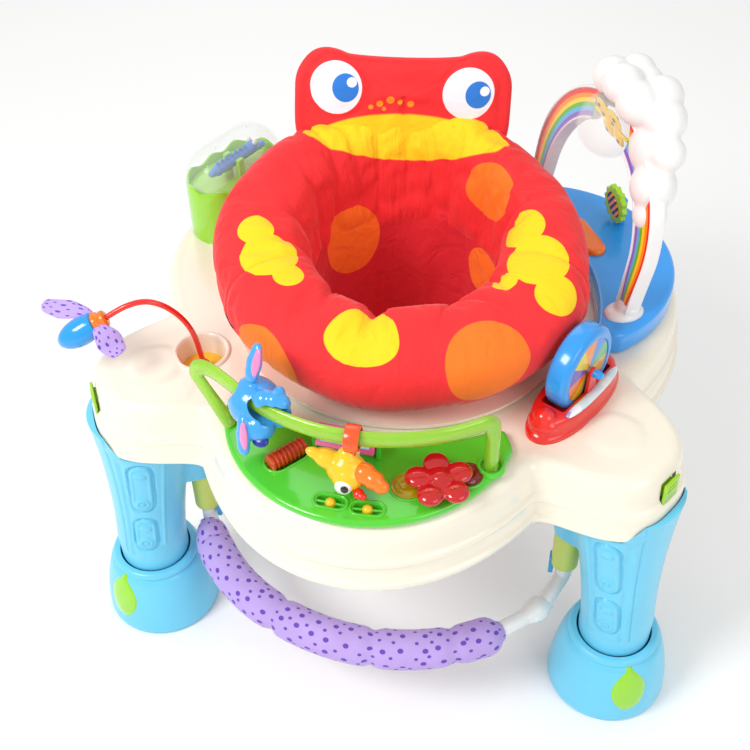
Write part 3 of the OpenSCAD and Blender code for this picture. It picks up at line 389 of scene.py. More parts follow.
# A bar of oval section along a path, with rounded ends. girth(t) gives its half width and height.
# The section is carried along the path, so that it holds where the run stands upright.
def bar(name, path, girth, put=Matrix(), sides=20, up=(0, 0, 1), cap=1.0):
    rows = [Vector(p) for p in path]
    last, ends = len(rows) - 1, 5
    runs = [(rows[min(last, k + 1)] - rows[max(0, k - 1)]).normalized() for k in range(last + 1)]
    sideways = [runs[0].cross(Vector(up)).normalized()]
    for run in runs[1:]:
        sideways.append((sideways[-1] - run * run.dot(sideways[-1])).normalized())

    def place(u, v):
        i = round(v * (last + 2 * ends))
        k = min(max(i - ends, 0), last)
        run, side = runs[k], sideways[k]
        top = side.cross(run)
        w, h = girth(k / last)
        ease, push = 1, 0
        if i < ends:
            ease, push = sn(90 * i / ends), -cs(90 * i / ends) * cap * min(w, h)
        elif i > ends + last:
            left = 90 * (last + 2 * ends - i) / ends
            ease, push = sn(left), cs(left) * cap * min(w, h)
        return rows[k] + run * push + side * (w * ease * cs(360 * u)) + top * (h * ease * sn(360 * u))
    return wrapped(name, sides, last + 2 * ends, place, put, 60)


# A flat outline drawn up into a block with rounded edges.
def plate(name, outline, low, high, edge, put=Matrix(), rows=4):
    clear()
    bpy.ops.mesh.primitive_circle_add(vertices=len(outline), fill_type="NGON")
    piece = bpy.context.object
    piece.name = piece.data.name = name
    for v, p in zip(piece.data.vertices, outline):
        v.co = spot(put @ Vector((p[0], p[1], low)))
    rise = put.to_3x3() @ Vector((0, 0, (high - low) / 1000))
    bpy.ops.object.mode_set(mode="EDIT")
    bpy.ops.mesh.select_all(action="SELECT")
    bpy.ops.mesh.extrude_region_move(TRANSFORM_OT_translate={"value": rise})
    bpy.ops.object.mode_set(mode="OBJECT")
    weld(piece)
    if edge:
        apply(piece, "BEVEL", width=edge / 1000, segments=rows, limit_method="ANGLE",
              angle_limit=math.radians(50))
    smooth(piece, 35)
    return piece


def joined(name, pieces):
    pick(pieces[0])
    for other in pieces[1:]:
        other.select_set(True)
    bpy.ops.object.join()
    pieces[0].name = pieces[0].data.name = name
    return pieces[0]


# Round lumps run together and smoothed, as a soft-edged moulding: a centre, three radii and, if
# need be, a turn for each.
def blended(name, lumps, put=Matrix(), voxel=1.8, ease=6, cut=()):
    balls = []
    for centre, radii, *tilt in lumps:
        clear()
        bpy.ops.mesh.primitive_uv_sphere_add(segments=28, ring_count=18, radius=1)
        ball = bpy.context.object
        own = put @ move(*centre) @ (tilt[0] if tilt else Matrix())
        for v in ball.data.vertices:
            v.co = spot(own @ Vector((v.co.x * radii[0], v.co.y * radii[1], v.co.z * radii[2])))
        balls.append(ball)
    piece = joined(name, balls)
    apply(piece, "REMESH", mode="VOXEL", voxel_size=voxel / 1000, use_smooth_shade=True)
    apply(piece, "SMOOTH", factor=0.5, iterations=ease)
    for cutter in cut:
        cut_out(piece, cutter)
    smooth(piece, 60)
    return piece


def cut_out(piece, cutter, sharp=35):
    apply(piece, "BOOLEAN", operation="DIFFERENCE", object=cutter, solver="EXACT")
    bpy.data.objects.remove(cutter)
    smooth(piece, sharp)


def dress(piece, stuff):
    piece.data.materials.clear()
    piece.data.materials.append(stuff)


# Gives a piece its finish and the body it rides, and hides the nodes it stands in for.
def fit(piece, body, stuff, nodes):
    dress(piece, stuff)
    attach(piece, body)
    if nodes:
        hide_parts(*nodes)


# Outlines for plate() and a half circle for turned()
def oblong(w, h, y=0):
    return [(-w, y - h), (w, y - h), (w, y + h), (-w, y + h)]


def oval(w, h, step=6):
    return [(w * cs(q), h * sn(q)) for q in range(0, 360, step)]


def half_circle(r):
    return [(r * sn(q), -r * cs(q)) for q in range(0, 181, 6)]


def stadium(l, w, n=12):
    r = w / 2
    half = l / 2 - r
    bend = [180 * i / n - 90 for i in range(n + 1)]
    return [(s * (half + r * cs(a)), s * r * sn(a)) for s in (1, -1) for a in bend]


# Padded fabric: blown up as cloth that is cut a little large, held along its seams and folds, with
# each point's travel capped so that it can't leave its place.
PUFF_FRAMES = 16


def puffed(piece, press, cap, large, held=None):
    before = [v.co.copy() for v in piece.data.vertices]
    pick(piece)
    grip = piece.vertex_groups.new(name="held")
    for v in piece.data.vertices:
        grip.add([v.index], held(v.co) if held else 0.0, "REPLACE")
    s = piece.modifiers.new("cloth", "CLOTH").settings
    s.use_pressure = True
    s.uniform_pressure_force = press
    s.effector_weights.gravity = 0
    s.tension_stiffness = s.compression_stiffness = 12
    s.bending_stiffness = 0.3
    s.shrink_min = -large
    s.vertex_group_mass = "held"
    s.quality = 4
    scene = bpy.context.scene
    for f in range(1, PUFF_FRAMES + 1):
        scene.frame_set(f)
    bpy.ops.object.modifier_apply(modifier="cloth")
    scene.frame_set(1)
    for v, old in zip(piece.data.vertices, before):
        step = v.co - old
        if step.length > cap / 1000:
            v.co = old + step.normalized() * (cap / 1000)
    apply(piece, "SMOOTH", factor=0.5, iterations=1)
    piece.vertex_groups.clear()
    pick(piece)
    bpy.ops.object.shade_smooth()


# ---- Tray ----
# How far a plan angle is from the nearest leg
def from_leg(a):
    return abs(a % 120 - 60)


def outline(a):
    off = from_leg(a)
    lobe = 0.5 + 0.5 * cs(180 * (off / 20) ** 1.5) if off < 20 else 0
    return 295 + 38 * cs(3 * a) + 107 * lobe


WELL = 168
CUP = (-61, 241, 28)
BUTTON_Z = 374
# The low disc over each leg: how far out, radius and height
BUMP = (295, 31, 3.6)
# The deck's edge, skirt and underside outwards from the outline, and the lip outwards from the well
TRAY_EDGE = [
    (-23, 404), (-18, 403.7), (-13, 402.7), (-8.5, 400.8), (-4.8, 397.8), (-2, 393.8), (-0.5, 389),
    (0, 383), (0.4, 374), (0.8, 366), (1.2, 363), (2.6, 361.2), (4.4, 360), (5, 358), (5, 354),
    (4.6, 351.6), (3.4, 349.8), (3, 347.5), (3.6, 341), (4.6, 334), (5.4, 332), (7.4, 330.6), (9, 329),
    (9, 324), (8.4, 322.4), (7, 322), (5.6, 323), (1, 334), (-1.8, 352), (-3.2, 380), (-6, 392),
    (-14, 399.4), (-24, 400.6)]
TRAY_LIP = [
    (-24, 400.6), (26, 400.6), (19, 404), (15, 404.8), (5, 404.8), (3.2, 404), (3, 380), (2.2, 374),
    (0.8, 374), (0, 376), (0, 402), (0.8, 405.6), (2.6, 407.6), (5, 408), (14, 408), (17, 407.4),
    (20.5, 405.2), (24, 404.2), (27, 404)]
OUTER_ROWS, DECK_ROWS = 23, 26
TRAY_ROWS = len(TRAY_EDGE) + len(TRAY_LIP) - 2 + DECK_ROWS


def tray_point(u, v):
    a = 360 * u
    edge = outline(a)
    i = round(v * TRAY_ROWS)
    k = i - len(TRAY_EDGE) + 1
    if k < 1:
        out, z = TRAY_EDGE[i]
        if i < OUTER_ROWS and z < 366:  # the skirt stands out over each leg
            out += math.exp(-(from_leg(a) / 12) ** 4) * max(0, 8.6 - out) * min(1, (366 - z) / 14)
        r = edge + out
    elif k < len(TRAY_LIP):
        out, z = TRAY_LIP[k]
        r = WELL + out
    else:
        first, last = WELL + TRAY_LIP[-1][0], edge + TRAY_EDGE[0][0]
        r = first + (last - first) * (k - len(TRAY_LIP) + 1) / DECK_ROWS
        z = DECK
    x, y, _ = polar(a, r)
    if DECK - 1 < z < DECK + 0.1:
        for leg in LEGS.values():
            c = polar(leg, BUMP[0])
            d = math.hypot(x - c.x, y - c.y) / BUMP[1]
            z += BUMP[2] * max(0.0, 1 - d ** 6) ** 0.5
    return (x, y, z)


def tray():
    shell = wrapped("tray_shell", 360, TRAY_ROWS, tray_point, Matrix(), 45)
    hole = at(*CUP[:2])
    cutters = [plate("cutter", oval(CUP[2], CUP[2]), 360, 430, 0, hole)]
    for a in LEGS.values():
        cutters.append(plate("cutter", oblong(13.6, 14.6), -30, 30, 2.5,
                             at(a, 364, BUTTON_Z) @ turn(90, "X")))
    cut_out(shell, joined("cutter", cutters), 42)
    fit(shell, "tray", CREAM, ["tray_top_shell"])
    wall = [(33.5, 404.1), (32.6, 406.2), (31, 407.2), (29.4, 407), (28, 405.6), (27.2, 402), (25.6, 388),
            (24.8, 380), (26.4, 380), (27.9, 396), (27.9, 403.9), (33.5, 404.1)]
    fit(turned("cup_wall", wall, hole), "tray", CREAM, ())
    floor = [(0, 372), (27.6, 372), (27.6, 379), (24.6, 380.6), (19, 379.4), (13, 377.2), (9.4, 376.4),
             (8.5, 375.2), (0, 375)]
    fit(turned("cup_floor", floor, hole), "tray", YELLOW, ["cup_insert"])


# Each button's face, stem and two ridges: half width, half height, rise, depths and edge
BUTTON = [(13, 14, 0, -2, 1.6, 2.2), (8, 9, 0, -12, -1.5, 1), (8, 1.5, 0, 1, 2.4, 0.8),
          (8, 1.5, 6, 1, 2.4, 0.8)]


def height_buttons():
    for side, a in LEGS.items():
        put = at(a, 368, BUTTON_Z) @ turn(90, "X")
        cap = joined("height_button_cap_" + side, [
            plate("button", oblong(w, h, y), low, high, edge, put) for w, h, y, low, high, edge in BUTTON])
        fit(cap, "height_button_" + side, LIME, ["height_button_" + side])


# ---- Legs and feet ----
# A rounded ridge of half width w about d = 0, and a step that is 1 inside d = 0 and 0 outside
def bell(d, w):
    return math.exp(-min(9, abs(d / w)) ** 4)


def within(d):
    return 1 / (1 + math.exp(min(60, d * 2.4)))


# Signed distance to a stadium-shaped panel on the leg's side, across by up, in millimetres
def panel_at(x, z, half, low, high):
    c = min(max(z, low + half), high - half)
    return math.hypot(x, z - c) - half


# How far out from the leg's axis the cup's inner wall stands, clear of the tray's lobe
def cup_inner(q, most):
    low, high = 0.0, most
    for _ in range(24):
        r = (low + high) / 2
        x, y = r * sn(q), -LEG_R - r * cs(q)
        inside = math.hypot(x, y) < outline(60 + math.degrees(math.atan2(x, -y))) + 9.8
        low, high = (r, high) if inside else (low, r)
    return min(low, most - 0.8)


# A column is one closed sheet: up its bore, down to its foot, up its outside to the edge of the cup
# that takes the tray's lobe, and in over the cup's floor.
BORE = [(0, 140), (37.6, 140), (37.6, 98)]
CUP_Z = 320
OUTSIDE = [98, 112] + [118 + 1.8 * i for i in range(112)] + [CUP_Z, 324, 330, 336, 341, 343.4]
TAPER_Z, TAPER_H = 131, 213


def leg_point(side):
    lean = {"left": 1, "right": -1, "rear": 0}[side]
    inner = len(BORE) + len(OUTSIDE)
    foot_y = LEG_R - FOOT_R

    def place(u, v):
        q = 360 * u - 180
        i = round(v * (inner + 2))
        if i < len(BORE):
            r, z = BORE[i]
            return (r * sn(q), foot_y - r * cs(q), z)
        z = OUTSIDE[min(i, inner - 1) - len(BORE)]
        t = max(0, (z - TAPER_Z) / TAPER_H)
        y = foot_y * (1 - t)
        r = 43.2 + 20.8 * t * t - (0.6 if z < TAPER_Z else 0)
        # Two sunk panels on each side with a boss and a leaf in each, and ribs beside them
        if z > 126:
            across = math.radians(abs(q) - 74) * r
            for low, high in ((214, 304), (138, 200)):
                d = panel_at(across, z, 15, low, high)
                r -= 3.0 * bell(d, 1.9)
                r += 1.0 * bell(d + 4.6, 1.8)
                boss = math.hypot(across, z - (low + 17))
                r += 2.6 * within(boss - 8.5) - 1.6 * bell(boss - 4, 1.2)
                leaf = math.hypot(across + 0.4 * (z - high + 18), (z - high + 18) * 1.5)
                r += 2.4 * within(leaf - 7)
            fade = min(1, max(0, (314 - z) / 10))
            r -= 1.6 * bell(abs(q) - 36, 1.5)
            r -= 1.8 * bell(abs(q) - 50, 4) * fade
            r += 1.6 * bell(abs(q) - 104, 2.4) * fade
            if z < 144:
                r = min(r, 43.2)
        # Corbel over the bumper's cuff, on the front legs only
        if lean and z >= 226:
            rise = min(1, max(0, z - 227) / 1.5) * max(0, cs(90 * min(1, max(0, z - 236) / 50))) ** 0.9
            aim = 180 - lean * 8
            off = abs((q - aim + 180) % 360 - 180)
            r += 34 * rise * math.exp(-(off / 19) ** 4)
        if z > CUP_Z:
            drop = min(1, max(0, (abs(q) - 34) / 26))
            z = CUP_Z + (z - CUP_Z) * max(0.02, 1 - drop * drop * (3 - 2 * drop))
        if i == inner + 2:
            r = 0
        elif i >= inner:
            r = cup_inner(q, r)
        if i > inner:
            z = CUP_Z - 0.2
        return (r * sn(q), y - r * cs(q), z)
    return place, inner + 2


def legs():
    for side, a in LEGS.items():
        place, rows = leg_point(side)
        column = wrapped("leg_" + side + "_column", 240, rows, place, at(a, LEG_R), 50)
        spigot = turned("spigot", [(0, 316), (32, 316), (32, 389), (31, 390), (22, 390), (22, 330), (0, 330)],
                        at(a, LEG_R))
        column = joined(column.name, [column, spigot])
        fit(column, "leg_" + side, SKY, ["leg_column_" + side])
        foot(side, a)


def dome(z):
    return 50.6 + 21.4 * max(0, 1 - (z / 100) ** 1.8) ** 0.75


def foot(side, a):
    outer = [(0, 0), (66, 0), (69.5, 0.6), (71.4, 2.2)] + [(dome(z), z) for z in range(5, 89, 3)]
    top = [(53.4, 90.2), (54.2, 92), (54.2, 95), (53.4, 97.4), (51.8, 99.2), (49.6, 100), (45.2, 100),
           (44.7, 99.4), (44.7, 92)]
    inner = [(max(46.6, dome(z) - 4), z) for z in range(91, 5, -6)]
    profile = outer + top + inner + [(60, 5), (0, 5)]
    piece = turned("foot_" + side + "_shell", profile, at(a, FOOT_R), 96)
    fit(piece, "foot_" + side, SKY, ["foot_" + side])

    # Tear-drop badge on the outer side of the dome, pointed at the top
    def drop(u, v):
        s = 360 * u
        w = 1 - abs(2 * v - 1)
        z = 57 - (34 if cs(s) > 0 else 36) * w * cs(s)
        wide = 23 * w * sn(s) * (1 if cs(s) > 0 else (1 - (-cs(s)) ** 1.6) ** 0.5)
        lift = 3.4 * (1 - w ** 3) ** 0.7 if v < 0.5 else -3
        r = dome(min(92, max(4, z))) + lift
        q = math.degrees(wide / r)
        return (r * sn(q), -r * cs(q), z)
    aim = {"left": 35, "right": -35, "rear": 0}[side]
    badge = wrapped("foot_" + side + "_drop", 48, 22, drop, at(a, FOOT_R, 0, aim))
    fit(badge, "foot_" + side, LIME_GLOSS, ["foot_drop_" + side])


# ---- Seat ----
def back_share(a):
    return (0.5 - 0.5 * cs(a)) ** 1.3


# The rim's inner and outer radius, its underside, its top at the front and its rise to the back
RIM_IN, RIM_OUT, RIM_LOW, RIM_TOP, RIM_RISE = 108, 212, 412.8, 524.8, 60


# Folds and seams sewn into the rim: angle round it, half width, depth in mm, middle and reach round the
# section (90 is the top, 180 the inside) and slant
FOLDS = [
    (-16, 2.6, 9, 112, 48, 0), (-16, 9, 4, 138, 30, 0), (177, 1.7, 8, 122, 70, 0),
    (150, 3, 4.5, 160, 42, 0.05), (163, 2.5, 5, 158, 45, -0.06), (194, 3, 5, 163, 40, 0.04),
    (207, 2.6, 4.5, 150, 50, -0.05), (222, 3.4, 6, 158, 45, 0.07), (239, 3, 4.5, 163, 40, 0),
    (112, 3, 6, 142, 46, 0.08), (126, 2.6, 5, 150, 45, -0.05), (97, 4, 4.5, 150, 40, 0.06),
    (262, 3.4, 5, 150, 42, -0.06), (284, 2.8, 4.5, 140, 40, 0.05), (16, 3, 3.6, 118, 34, 0.22),
    (30, 2.6, 3.4, 110, 32, -0.2), (47, 3, 4, 125, 36, 0.15), (-40, 3, 4, 125, 36, -0.16),
    (66, 2, 3, 60, 62, 0), (140, 2, 3, 60, 62, 0), (220, 2, 3, 60, 62, 0), (294, 2, 3, 60, 62, 0)]


def fold_depth(a, t):
    deep = 0
    for at_angle, wide, depth, mid, reach, slant in FOLDS:
        off = (a - at_angle - slant * (t - mid) + 540) % 360 - 180
        if abs(off) < 3 * wide:
            deep += depth * math.exp(-abs(off / wide) ** 1.3) * math.exp(-((t - mid) / reach) ** 4)
    return deep


def rim_middle(a):
    pulled_in = 26 * back_share(a) ** 2 + 22 * math.exp(-((a % 360 - 112) / 36) ** 2)
    half = (RIM_OUT - pulled_in - RIM_IN) / 2
    tall = (RIM_TOP + RIM_RISE * back_share(a) - RIM_LOW) / 2
    return RIM_IN + half, RIM_LOW + tall, half, tall


def rim_point(u, v):
    a, t = 360 * u, 360 * v
    mid, level, half, tall = rim_middle(a)
    sag = 1 if sn(t) > 0 else 1 - 0.10 * sn(t) ** 2
    c, s = cs(t), sn(t)
    deep = fold_depth(a, t) + 1.3 * sn(9 * a + 60) * max(0, c) + 1.2 * sn(5 * a + 2 * t) + 0.6
    r = mid + half * sag * signed(c, 0.8) - deep * c
    r += max(0, c) * s * (10 if s > 0 else 30)
    z = level + tall * signed(s, 0.85) - deep * s
    x, y, _ = polar(a, r)
    return (x, y, z)


# The rim's cover is held in its deeper folds and underneath, where it is tied to the seat's ring.
def rim_held(co):
    p = turn(-SEAT_YAW) @ ((co - spot((0, 0, 0))) * 1000)
    a = math.degrees(math.atan2(p.x, -p.y)) % 360
    mid, level, half, tall = rim_middle(a)
    t = math.degrees(math.atan2((p.z - level) / tall, (math.hypot(p.x, p.y) - mid) / half)) % 360
    return 1.0 if fold_depth(a, t) > 2.6 or 220 < t < 320 else 0.0


SLING = [(116, 470), (112, 452), (110, 430), (109, 408), (108, 386), (107, 366), (104, 345), (99, 326),
         (88, 309), (70, 299), (46, 294), (22, 291.5), (0, 291)]


def bucket_point(u, v):
    a = 360 * u
    k = v * (len(SLING) - 1)
    i = min(int(k), len(SLING) - 2)
    r, z = Vector(SLING[i]).lerp(Vector(SLING[i + 1]), k - i)
    fold = 3.2 * sn(8 * a + 40) * math.exp(-((z - 400) / 60) ** 2)
    fold += 1.8 * sn(19 * a) * math.exp(-((z - 350) / 50) ** 2)
    r = max(0, r + fold * min(1, r / 50))
    x, y, _ = polar(a, r)
    return (x, y, z)


HEAD_LEAN = turn(-14, "X") @ turn(3, "Y")
HEAD_PUT = turn(SEAT_YAW) @ move(0, 132, 554) @ HEAD_LEAN @ move(0, 0, 53)


def head_edge(t):
    c, s = cs(t), sn(t)
    if s < 0:
        return (125 * signed(c, 0.35), -80 * abs(s) ** 0.4)
    eye = math.exp(-((abs(90 - t) - 43) / 25) ** 2)
    return (125 * signed(c, 0.62), 43 * s ** 0.62 + 12.5 * eye * min(1, 4 * s))


def head_point(u, v):
    t = 360 * u
    x, z = head_edge(t)
    w = 1 - abs(2 * v - 1)
    face = -1 if v < 0.5 else 1
    grow = math.sin(math.pi / 2 * w)
    thick = 17 * (1 - grow ** 3.2) ** 0.5
    eye = math.hypot((abs(x * grow) - 76) / 34, (z * grow - 8) / 34)
    puff = 5 * math.exp(-eye * eye) * (1 if face < 0 else 0.5) - 1.6 * bell(eye - 1.02, 0.09)
    seam = 1.8 * bell(grow - 0.9, 0.035) + 2.4 * bell(x * grow, 3) * bell(z * grow + 40, 30)
    return (x * grow, face * max(0, thick + puff * (1 - grow ** 6) - seam), z * grow)


def seat():
    put = turn(SEAT_YAW)
    rim = wrapped("seat_rim_cushion", 300, 64, rim_point, put, 180)
    puffed(rim, 4, 4, 0.06, rim_held)
    fit(rim, "seat", RIM_CLOTH, ["seat_rim_pad"])
    bucket = wrapped("seat_sling", 120, 36, bucket_point, put, 180)
    holes = [turned("cutter", [(0, 250), (42, 250), (42, 330), (0, 330)], put @ move(s * 56, -14, 0))
             for s in (-1, 1)]
    apply(bucket, "SOLIDIFY", thickness=0.004, offset=0)
    cut_out(bucket, joined("cutter", holes), 180)
    fit(bucket, "seat", SLING_CLOTH, ["seat_bucket"])
    head = wrapped("seat_head_cushion", 160, 72, head_point, HEAD_PUT, 180)
    puffed(head, 2, 3, 0.02)
    fit(head, "seat", HEAD_CLOTH, ["seat_headrest"])


# ---- Bumper bar ----
# The bow's centre along Y, its radius and its height; and its two cuffs
BOW_Y, BOW_R, BOW_Z = -22, 255, 122
CUFFS = [Vector((s * 223.3, -139.3, 0)) for s in (-1, 1)]


def bow(f):
    return Vector((BOW_R * sn(f), BOW_Y - BOW_R * cs(f), BOW_Z))


def bumper():
    def by_cuff(s, *offset):
        return CUFFS[s] + Vector(offset)
    path = [by_cuff(0, 0, 0, z) for z in (208, 190, 170, 154)]
    path += flowing([by_cuff(0, 0, 0, 150), by_cuff(0, 0.5, -1, 141), bow(-53), bow(-50)], 5)
    path += [bow(-48 + 4 * i) for i in range(25)]
    path += flowing([bow(50), bow(53), by_cuff(1, -0.5, -1, 141), by_cuff(1, 0, 0, 150)], 5)
    path += [by_cuff(1, 0, 0, z) for z in (154, 170, 190, 208)]
    tube = bar("bumper_tube_white", path, lambda t: (9.4, 9.4), Matrix(), 24, (0.2, 0.1, 1), 0.3)
    knuckle = [(0, -19), (9.8, -19), (10.4, -15), (13, -10), (14.6, -4), (14.8, 0), (14.6, 4), (13, 10),
               (10.4, 15), (9.8, 19), (0, 19)]
    ball = turned("bumper_knuckle", knuckle, move(*bow(51)) @ turn(51) @ turn(90, "Y"))
    tube = joined("bumper_tube_white", [tube, ball])
    fit(tube, "leg_left", WHITE, ["bumper_tube"])

    def swell(f):
        dents = 1
        for p in (-23, 4, 25):
            dents *= 1 - 0.16 * math.exp(-((f - p) / 1.6) ** 2)
        ends = min(f + 51 + rise, 39 - f)
        return dents * math.sqrt(max(0.24, 1 - max(0, 1 - ends / (11 if f < 0 else 5)) ** 2))
    run = flowing([by_cuff(0, 2, -6, 138), by_cuff(0, 6, -14, 132), bow(-55), bow(-51)], 4)[:-1]
    rise = len(run)
    run += [bow(-51 + i) for i in range(91)]

    def sleeve_girth(t):
        r = 23 * swell(-51 - rise + (90 + rise) * t)
        return (r, r)
    sleeve = bar("bumper_sleeve_lilac", run, sleeve_girth, Matrix(), 32, (0, 0, 1), 0.2)
    puffed(sleeve, 3, 2, 0.04)
    fit(sleeve, "leg_left", LILAC, ["bumper_sleeve"])
    profile = [(9.7, 168), (10.2, 166.4), (14.4, 166), (15.6, 167), (16, 169), (16, 222), (15.4, 229),
               (9.8, 229), (9.7, 227), (9.7, 168)]
    for s, side, inward in ((0, "left", 15.1), (1, "right", -15.1)):
        cuff = turned("bumper_cuff_" + side, profile, move(*CUFFS[s]))
        fit(cuff, "leg_" + side, PALE_LIME, ["bumper_socket_" + side])
        clip = plate("bumper_clip_" + side, oblong(3, 6), 148, 178, 1.6, move(*by_cuff(s, inward, 0, 0)))
        fit(clip, "bumper_button_" + side, SKY_GLOSS, ["bumper_button_" + side])


# ---- Toy panel ----
# A crescent between the seat's ring and the tray's edge: two arcs outside, one inside
def crescent(arc, other, inner):
    points = []
    for i in range(141):
        a = -60 + 120 * i / 140
        reach = []
        for c, r in ((172, arc), (260, other)):
            b = c * cs(a)
            d = b * b - c * c + r * r
            reach.append(b + math.sqrt(d) if d > 0 else 0)
        far = min(reach)
        if far > inner:
            points.append((far * sn(a), -far * cs(a)))
    a0, a1 = [math.degrees(math.atan2(x, -y)) for x, y in (points[0], points[-1])]
    back = [a1 + (a0 - a1) * i / 40 for i in range(1, 40)]
    return points + [(inner * sn(a), -inner * cs(a)) for a in back]


# A round bead of this thickness along a closed outline
def ring(name, path, thick, put):
    n = len(path)

    def place(u, v):
        i = round(u * n) % n
        p, after, before = [Vector((*path[k % n], 0)) for k in (i, i + 1, i - 1)]
        run = (after - before).normalized()
        side = Vector((run.y, -run.x, 0))
        return p + side * (thick * cs(360 * v)) + Vector((0, 0, thick * sn(360 * v)))
    return wrapped(name, n, 10, place, put, 60)


FLOWER = (18.8, 283)
ROLLER = (-15, 268)
DRUM = (-2.6, 236)
BEADS = {"left": (-2.05, 307), "right": (5, 309)}
LENSES = {"amber": (12.4, 278, 17), "ruby": (25.2, 270, 16)}
ROLLER_TWIST = 65
PANEL_TOP, BEAD_Z = 414, 412


def toy_panel():
    body = plate("toy_panel_plate", crescent(157, 167, 219), DECK, PANEL_TOP, 4.5)
    cutters = [plate("cutter", stadium(46, 23), 406, 430, 0, at(*ROLLER, 0, ROLLER_TWIST))]
    for b in BEADS.values():
        cutters.append(plate("cutter", stadium(30, 13), 406, 430, 0, at(*b)))
    cut_out(body, joined("cutter", cutters))
    trims = [body]
    for b in BEADS.values():
        trims.append(ring("slot_edge", stadium(35, 18, 14), 1.5, at(*b, 414.2)))
        trims.append(bar("slot_rail", [(-16, 0, 0), (0, 0, 0), (16, 0, 0)], lambda t: (1.5, 1.5),
                         at(*b, BEAD_Z), 10))
    trims.append(ring("roller_edge", stadium(50, 27, 14), 1.4, at(*ROLLER, PANEL_TOP, ROLLER_TWIST)))
    for a, r, s in LENSES.values():
        trims.append(ring("lens_edge", oval(s + 1.2, s + 1.2, 8), 1.6, at(a, r, PANEL_TOP)))
    pin = [(0, 410), (7.5, 410), (7.2, 416), (6, 420.6), (5.4, 421.4), (0, 421.4)]
    trims.append(turned("flower_post", pin, at(*FLOWER)))
    ear = [(-7, 0), (7, 0), (6.4, 12), (4.4, 19), (0, 21), (-4.4, 19), (-6.4, 12)]
    for s in (-1, 1):
        trims.append(plate("drum_ear", ear, -2.5, 2.5, 1.2,
                           at(*DRUM, 413.6) @ move(s * 34.2, 0, 0) @ turn(90) @ turn(90, "X")))
    post = bar_point(41)
    socket = [(15, 413), (15, 415.5), (13.6, 417.4), (11.4, 417.6), (10, 416.4), (9.6, 414), (9.6, 413)]
    trims.append(turned("post_socket", socket, move(post.x, post.y, 0)))
    panel = joined("toy_panel_plate", trims)
    fit(panel, "tray", GREEN, ["toy_panel"])


def lenses():
    for name, stuff, slot in (("amber", AMBER, "yellow_plastic"), ("ruby", RUBY, "red_plastic")):
        a, r, s = LENSES[name]
        lens = turned(name + "_lens_disc", [
            (0, 414.2), (s, 414.2), (s, 415.6), (s - 1, 416.2), (s - 2.4, 416), (s - 4, 418), (s - 7, 419),
            (s - 9, 418.2), (s - 11, 418.6), (0, 419)], at(a, r))
        fit(lens, "tray", stuff, [name + "_lens"])


def flower():
    lumps = [((0, 0, 6), (15, 15, 8))]
    for k in range(5):
        a = 72 * k + 20
        lumps.append(((22 * cs(a), 22 * sn(a), 5.5), (13.5, 13.5, 7)))
    lumps.append(((0, 0, 10), (9, 9, 6)))
    petals = blended("flower_petals", lumps, at(*FLOWER, 422), 1.4, 3)
    fit(petals, "flower_spinner", RED_CLEAR, ["flower_spinner"])


def roller():
    ribs = [(0, -22), (7, -22)]
    for i in range(9):
        z = -22 + 44 * i / 9
        ribs += [(8, z + 0.3), (9.6, z + 1.2), (10, z + 2.4), (9.6, z + 3.7), (8, z + 4.6)]
    put = at(*ROLLER, 418, ROLLER_TWIST) @ turn(90, "Y")
    piece = turned("roller_ribs", ribs + [(7, 22), (0, 22)], put, 32)
    fit(piece, "ridged_roller", ORANGE_CLEAR, ["ridged_roller"])


def beads():
    profile = [(5.5 * sn(q), -5.5 * cs(q)) for q in range(20, 165, 8)]
    profile = [(1.7, -5.2)] + profile + [(1.7, 5.2), (1.7, -5.2)]
    for side, b in BEADS.items():
        bead = turned("bead_" + side + "_ball", profile, at(*b, BEAD_Z) @ turn(90, "Y"), 28)
        fit(bead, "bead_" + side, YELLOW, ["bead_" + side])


def drum():
    put = at(*DRUM, 429) @ turn(90, "Y") @ turn(160)
    tri = []
    for k in range(3):
        for j in range(5):
            q = 120 * k - 20 + 10 * j
            tri.append((10.5 * cs(120 * k) + 3 * cs(q), 10.5 * sn(120 * k) + 3 * sn(q)))
    block = plate("drum_block", tri, -31, 31, 1.2, put)
    fit(block, "picture_drum", PINK, ["picture_drum"])
    cloudlet = [(11 * cs(q) * (1 + 0.12 * cs(6 * q)), 4 * sn(q) * (1 + 0.25 * abs(sn(2 * q))))
                for q in range(0, 360, 8)]
    for k in range(3):
        face = put @ turn(120 * k + 60) @ move(8.0, 0, 0) @ turn(90, "Y")
        card = plate("drum_picture_%d" % k, oblong(26, 6.5), -0.4, 0.5, 0.4, face)
        fit(card, "picture_drum", PALE_BLUE, ())
        puff = plate("drum_cloud_%d" % k, cloudlet, 0.4, 0.9, 0.2, face)
        fit(puff, "picture_drum", WHITE, ())


# ---- Toy bar and what hangs on it ----
BAR_Y, BAR_R, BAR_Z = -72, 208, 482


def bar_point(f):
    return Vector((BAR_R * sn(f), BAR_Y - BAR_R * cs(f), BAR_Z))


def on_bar(f):
    return move(*bar_point(f)) @ turn(f)


def toy_bar():
    x, y, _ = bar_point(41)
    run = flowing([(-140, -226, 413), (-153, -221, 432), (-168, -215, 452), (-176, -212, 466),
                   (-170, -213, 478), (-152, -221, BAR_Z), bar_point(-37), bar_point(-35.5)], 4)[:-1]
    run += [bar_point(-35 + 2 * i) for i in range(36)]
    run += flowing([bar_point(36), bar_point(38.4), (x - 1.5, y - 1.5, BAR_Z - 7), (x, y, 460)], 5)
    run += [Vector((x, y, z)) for z in (455, 440, 425, 413)]
    last = len(run) - 1

    def girth(t):
        k = min(t, 1 - t) * last
        wide = min(1, max(0, (k - 3) / 5))
        return (7.2 - 2.6 * wide, 7.4 + 2 * wide)
    strip = bar("toy_bar_strip", run, girth, Matrix(), 24, (0.0, 0.0, 1.0), 0.4)
    fit(strip, "tray", LIME_CLEAR, ["toy_bar"])


